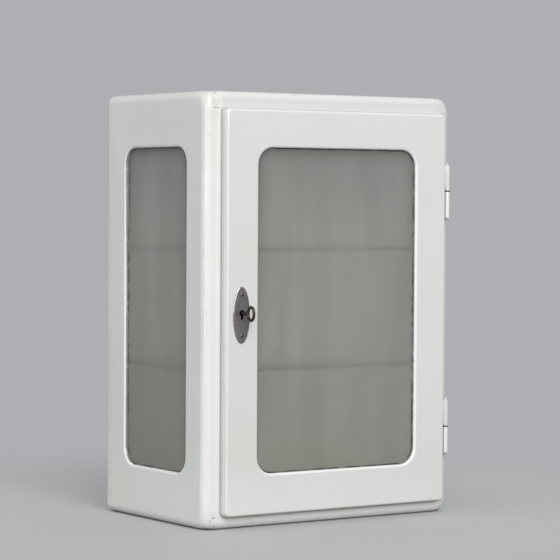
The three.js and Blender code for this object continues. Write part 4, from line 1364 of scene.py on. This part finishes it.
def slotted_head(screw, turn):
    """A low domed head: strips along its slot, each as long as the circle's chord there, and two of them
    sunk to the slot's floor."""
    low, high = span(screw)
    centre = np.array([(low[0] + high[0]) / 2, (low[2] + high[2]) / 2])
    top = low[1] - door_face_y
    bottom = depths_of("escutcheon", door_face)[0] + PLATE_DOME
    half = SCREW_SLOT / 2
    sweep = np.linspace(0, math.acos(half / SCREW_RADIUS), SCREW_STEPS + 1)
    flank = SCREW_RADIUS * np.cos(sweep)
    across = np.concatenate([-flank, [-half, half], flank[::-1]])
    slotted = np.abs(np.arange(len(across)) - (len(across) - 1) / 2) < 1
    chord = np.sqrt(np.maximum(SCREW_RADIUS ** 2 - across ** 2, 0))
    share = np.array([-1, -1, -0.9, -0.65, -0.25, 0.25, 0.65, 0.9, 1, 1])[:, None]
    along = share * chord
    rise = (bottom - top) * (1 - SCREW_FALL * (across ** 2 + along ** 2) / SCREW_RADIUS ** 2)
    rise = np.where(slotted, (bottom - top) * SLOT_FLOOR, rise)
    depth = bottom - rise
    depth[[0, -1]] = bottom + PLATE_EASE
    angle = math.radians(turn)
    flat = stacked(
        centre[0] + across * math.cos(angle) - along * math.sin(angle),
        centre[1] + across * math.sin(angle) + along * math.cos(angle),
    )
    head = Patchwork()
    head.add(on_face(door_face, flat, depth), wrap_rows=True)
    return head


for end, turn in SCREW_TURNS.items():
    screw = f"escutcheon_screw_{end}"
    make_piece(f"{screw}_head", slotted_head(screw, turn), SCREW_STEEL, "door", [screw])


def key_shape():
    """A key: an oval ring of round wire in an upright plane, a turned collar and shaft, and a flat bit."""
    low, high = span("key")
    ring = (high[2] - low[2]) / 2 - KEY_WIRE
    bow_y = low[1] + KEY_SQUEEZE * (ring + KEY_WIRE)
    collar = (high[0] - low[0]) / 2
    round_ring = np.linspace(0, 2 * math.pi, RING_STEPS, endpoint=False)[:, None]
    round_wire = np.linspace(0, 2 * math.pi, WIRE_STEPS, endpoint=False)
    reach = ring + KEY_WIRE * np.cos(round_wire)
    bow = stacked(
        key_x + KEY_WIRE * np.sin(round_wire),
        bow_y + KEY_SQUEEZE * reach * np.cos(round_ring),
        key_z + reach * np.sin(round_ring),
    )
    key = Patchwork()
    key.add(bow, wrap_rows=True, wrap_columns=True)

    neck = bow_y + KEY_SQUEEZE * (ring + KEY_WIRE)
    swell = np.linspace(0, math.pi, DOME_STEPS + 1)
    collar_radius = KEY_SHAFT + (collar - KEY_SHAFT) * np.sqrt(np.sin(swell))
    collar_place = neck + KEY_COLLAR * (1 - np.cos(swell)) / 2
    tip = high[1]
    radius = np.concatenate([[0, KEY_SHAFT], collar_radius, [KEY_SHAFT, KEY_SHAFT - PLATE_EASE, 0]])
    start = bow_y + KEY_SQUEEZE * ring
    place = np.concatenate([[start, start], collar_place, [tip - PLATE_EASE, tip, tip]])
    across, upward, along = lathe(radius, place, TURNED_STEPS)
    key.add(stacked(key_x + across, along, key_z + upward), wrap_columns=True)

    bit = (key_x - BIT_HALF, key_x + BIT_HALF, key_z - BIT_REACH, key_z)
    end = tip - KEY_PILOT - door_face_y
    rows, _ = plate_rows(bit, PLATE_EASE, door_face, (end - BIT_WIDTH, end), PLATE_EASE / 2)
    key.add(rows, wrap_columns=True)
    return key


make_piece("ring_key", key_shape(), KEY_IRON, "latch", ["key"])


# Hinges, shelf brackets and shelves
def bent_strip(start, corner, end, low, high, axes):
    """A strip of thick sheet with one square bend: its outer line from start round the corner to end, its
    inner line beside it, both carried from low to high along the third axis and closed at the ends."""
    start, corner, end = (np.array(point) for point in (start, corner, end))
    first = (corner - start) / np.linalg.norm(corner - start)
    second = (end - corner) / np.linalg.norm(end - corner)
    turn = np.linspace(0, math.pi / 2, STRIP_STEPS + 1)[:, None]
    pivot = corner + STRIP_BEND * (second - first)
    spoke = first * np.sin(turn) - second * np.cos(turn)
    outer = np.concatenate([[start], pivot + STRIP_BEND * spoke, [end]])
    inner_start = start + STRIP_SHEET * second
    inner_end = end - STRIP_SHEET * first
    inner = np.concatenate([[inner_start], pivot + (STRIP_BEND - STRIP_SHEET) * spoke, [inner_end]])

    def placed(flat, along):
        return flat[..., 0, None] * axes[0] + flat[..., 1, None] * axes[1] + along * axes[2]

    loop = np.concatenate([outer, inner[::-1]])
    strip = Patchwork()
    strip.add(np.stack([placed(loop, low), placed(loop, high)]), wrap_columns=True)
    for along in (low, high):
        strip.add(np.stack([placed(outer, along), placed(inner, along)]))
    return strip


def barrel(patchwork, radius, far, near):
    """A hinge barrel round the hinge's axis: a domed far end, marked for dark specks, and an eased near end.
    """
    away = math.copysign(1, far - near)
    turn = np.linspace(0, math.pi / 2, DOME_STEPS + 1)
    profile = np.concatenate([radius * np.sin(turn), [radius, radius, radius - BARREL_EASE, 0]])
    place = np.concatenate([
        far - away * BARREL_DOME * (1 - np.cos(turn)),
        [far - away * 2 * BARREL_DOME, near + away * BARREL_EASE, near, near],
    ])
    across, along, height = lathe(profile, place, TURNED_STEPS)
    darkened = (np.arange(len(profile)) < len(turn))[:, None] * BARREL_SPECKS
    patchwork.add(stacked(hinge_x + across, hinge_y + along, height), wrap_columns=True, seam=darkened)


def hinge_leaf(node, line, radius, far, near, finish, body):
    """Half of a hinge: a bent strip along a line of three points, with a barrel from far to near."""
    low, high = span(node)
    leaf = bent_strip(*line, low[2] + LEAF_END, high[2] - LEAF_END, (X_AXIS, Y_AXIS, UP))
    barrel(leaf, radius, far, near)
    make_piece(f"{node}_bent", leaf, finish, body, [node], ease=STRIP_EASE)


for level in ("upper", "lower"):
    case_leaf = f"{level}_hinge_case_leaf"
    low, high = span(case_leaf)
    radius = high[0] - hinge_x
    edge = hinge_x + STRIP_SHEET / 2
    line = ((edge, hinge_y), (edge, high[1]), (edge - LEAF_FOOT, high[1]))
    hinge_leaf(case_leaf, line, radius, low[2], high[2], CASE_ENAMEL, "case")
    door_leaf = f"{level}_hinge_door_leaf"
    low, high = span(door_leaf)
    front = hinge_y - STRIP_SHEET / 2
    line = ((hinge_x, front), (low[0], front), (low[0], high[1]))
    hinge_leaf(door_leaf, line, radius, high[2], low[2], DOOR_ENAMEL, "door")

for bracket in [name for name in nodes if "bracket" in name]:
    low, high = span(bracket)
    wall, tip = (low[0], high[0]) if low[0] < 0 else (high[0], low[0])
    angle_strip = bent_strip(
        (wall, low[2]), (wall, high[2]), (tip, high[2]), low[1], high[1], (X_AXIS, UP, Y_AXIS))
    make_piece(f"{bracket}_bent", angle_strip, CASE_ENAMEL, "case", [bracket], ease=STRIP_EASE)

for shelf in ("upper_shelf", "lower_shelf"):
    low, high = span(shelf)
    shelf_face = (high[2] * UP, X_AXIS, -UP)
    edges = (low[0], high[0], low[1], high[1])
    rows, offsets = plate_rows(edges, SHELF_CORNER, shelf_face, (0.0, high[2] - low[2]), SHELF_EDGE)
    on_edge = (offsets > -SHELF_EDGE / 2)[:, None]
    at_end = np.abs(rows[..., 0]) > high[0] - SHELF_CORNER / 2
    slab = Patchwork()
    slab.add(rows, wrap_columns=True, edge=on_edge * np.where(at_end, SHELF_END_SHARE, 1.0))
    make_piece(f"{shelf}_glass", slab, SHELF_GLASS, "case", [shelf])


# Materials of the CAD nodes that stay in view
def dress(names, finish):
    """Gives CAD nodes one finish."""
    for name in names:
        nodes[name].data.materials.clear()
        nodes[name].data.materials.append(finish)


dress([name for name in nodes if "nut" in name or "pin" in name], ZINC)
dress([name for name in nodes if "washer" in name], SCREW_STEEL)
dress(["latch_tongue"], PLATE_STEEL)
dress(["lock_hub"], BLACKED_STEEL)
dress(["lock_case"], ZINC)


# Camera, stage and light
def look():
    """The camera's frame from its yaw, its tilt down and its roll."""
    yaw, down, roll = (math.radians(angle) for angle in (CAMERA_YAW, CAMERA_DOWN, CAMERA_ROLL))
    level = np.array([-math.sin(yaw), math.cos(yaw), 0])
    right = np.array([math.cos(yaw), math.sin(yaw), 0])
    ahead = math.cos(down) * level - math.sin(down) * UP
    above = math.sin(down) * level + math.cos(down) * UP
    rolled_right = math.cos(roll) * right + math.sin(roll) * above
    rolled_up = math.cos(roll) * above - math.sin(roll) * right
    turned = np.stack([rolled_right, rolled_up, -ahead], axis=1)
    camera = add_object("camera", bpy.data.cameras.new("camera"))
    camera.data.lens = CAMERA_LENS
    camera.data.clip_end = CAMERA_FAR
    camera.matrix_world = Matrix.Translation(CAMERA_PLACE) @ Matrix(turned.tolist()).to_4x4()
    bpy.context.scene.camera = camera


def seen_directly(tree):
    """1 for rays from the camera and for those mirrored or carried through glass, else 0."""
    rays = tree.nodes.new("ShaderNodeLightPath")
    most = rays.outputs["Is Camera Ray"]
    for name in ("Is Glossy Ray", "Is Transmission Ray"):
        larger = tree.nodes.new("ShaderNodeMath")
        larger.operation = "MAXIMUM"
        tree.links.new(most, larger.inputs[0])
        tree.links.new(rays.outputs[name], larger.inputs[1])
        most = larger.outputs[0]
    return most


def floor():
    """A flat pale floor whose colour runs out into the backdrop's. It throws back less light than its colour
    would."""
    stage = Patchwork()
    edge = np.array([-FLOOR_SIZE, FLOOR_SIZE]) / 2
    stage.add(stacked(edge, edge[:, None], 0.0))
    ground = add_object("floor", stage.mesh("floor"))
    paint = Finish("floor_paint")
    seen = seen_directly(paint.tree)
    paint.settings(Base_Color=paint.mixed(seen, FLOOR_BOUNCE, FLOOR_TONE), Roughness=0.7)
    glow = paint.add("ShaderNodeEmission")
    glow.inputs["Color"].default_value = BACKDROP
    distance = paint.add("ShaderNodeVectorMath", operation="LENGTH")
    paint.join(paint.place, distance.inputs[0])
    fade = paint.between(distance.outputs["Value"], FLOOR_NEAR, FLOOR_FAR)
    choice = paint.add("ShaderNodeMixShader")
    paint.join(paint.times(fade, seen), choice.inputs[0])
    paint.join(paint.shader.outputs[0], choice.inputs[1])
    paint.join(glow.outputs[0], choice.inputs[2])
    paint.join(choice.outputs[0], paint.output.inputs["Surface"])
    ground.data.materials.append(paint.material)


def surroundings():
    """An even pale room light, with the grey backdrop where it is seen directly."""
    world = bpy.data.worlds.new("studio")
    world.use_nodes = True
    tree = world.node_tree
    tree.nodes.clear()
    room = tree.nodes.new("ShaderNodeBackground")
    room.inputs["Color"].default_value = ROOM_TONE
    room.inputs["Strength"].default_value = ROOM_LIGHT
    backdrop = tree.nodes.new("ShaderNodeBackground")
    backdrop.inputs["Color"].default_value = BACKDROP
    choice = tree.nodes.new("ShaderNodeMixShader")
    output = tree.nodes.new("ShaderNodeOutputWorld")
    tree.links.new(seen_directly(tree), choice.inputs[0])
    tree.links.new(room.outputs[0], choice.inputs[1])
    tree.links.new(backdrop.outputs[0], choice.inputs[2])
    tree.links.new(choice.outputs[0], output.inputs["Surface"])
    bpy.context.scene.world = world


def softbox(name, place, aim, size, power):
    """A soft light of a width and height at a place, facing a point."""
    lamp = bpy.data.lights.new(name, "AREA")
    lamp.shape = "RECTANGLE"
    lamp.size, lamp.size_y = size
    lamp.energy = power
    holder = add_object(name, lamp)
    away = np.array(place) - np.array(aim)
    away = away / np.linalg.norm(away)
    side = np.cross(UP, away)
    side = side / np.linalg.norm(side)
    turned = np.stack([side, np.cross(away, side), away], axis=1)
    holder.matrix_world = Matrix.Translation(place) @ Matrix(turned.tolist()).to_4x4()


look()
floor()
surroundings()
for name, values in SOFTBOXES.items():
    softbox(name, **values)
bpy.context.scene.view_settings.view_transform = "Standard"
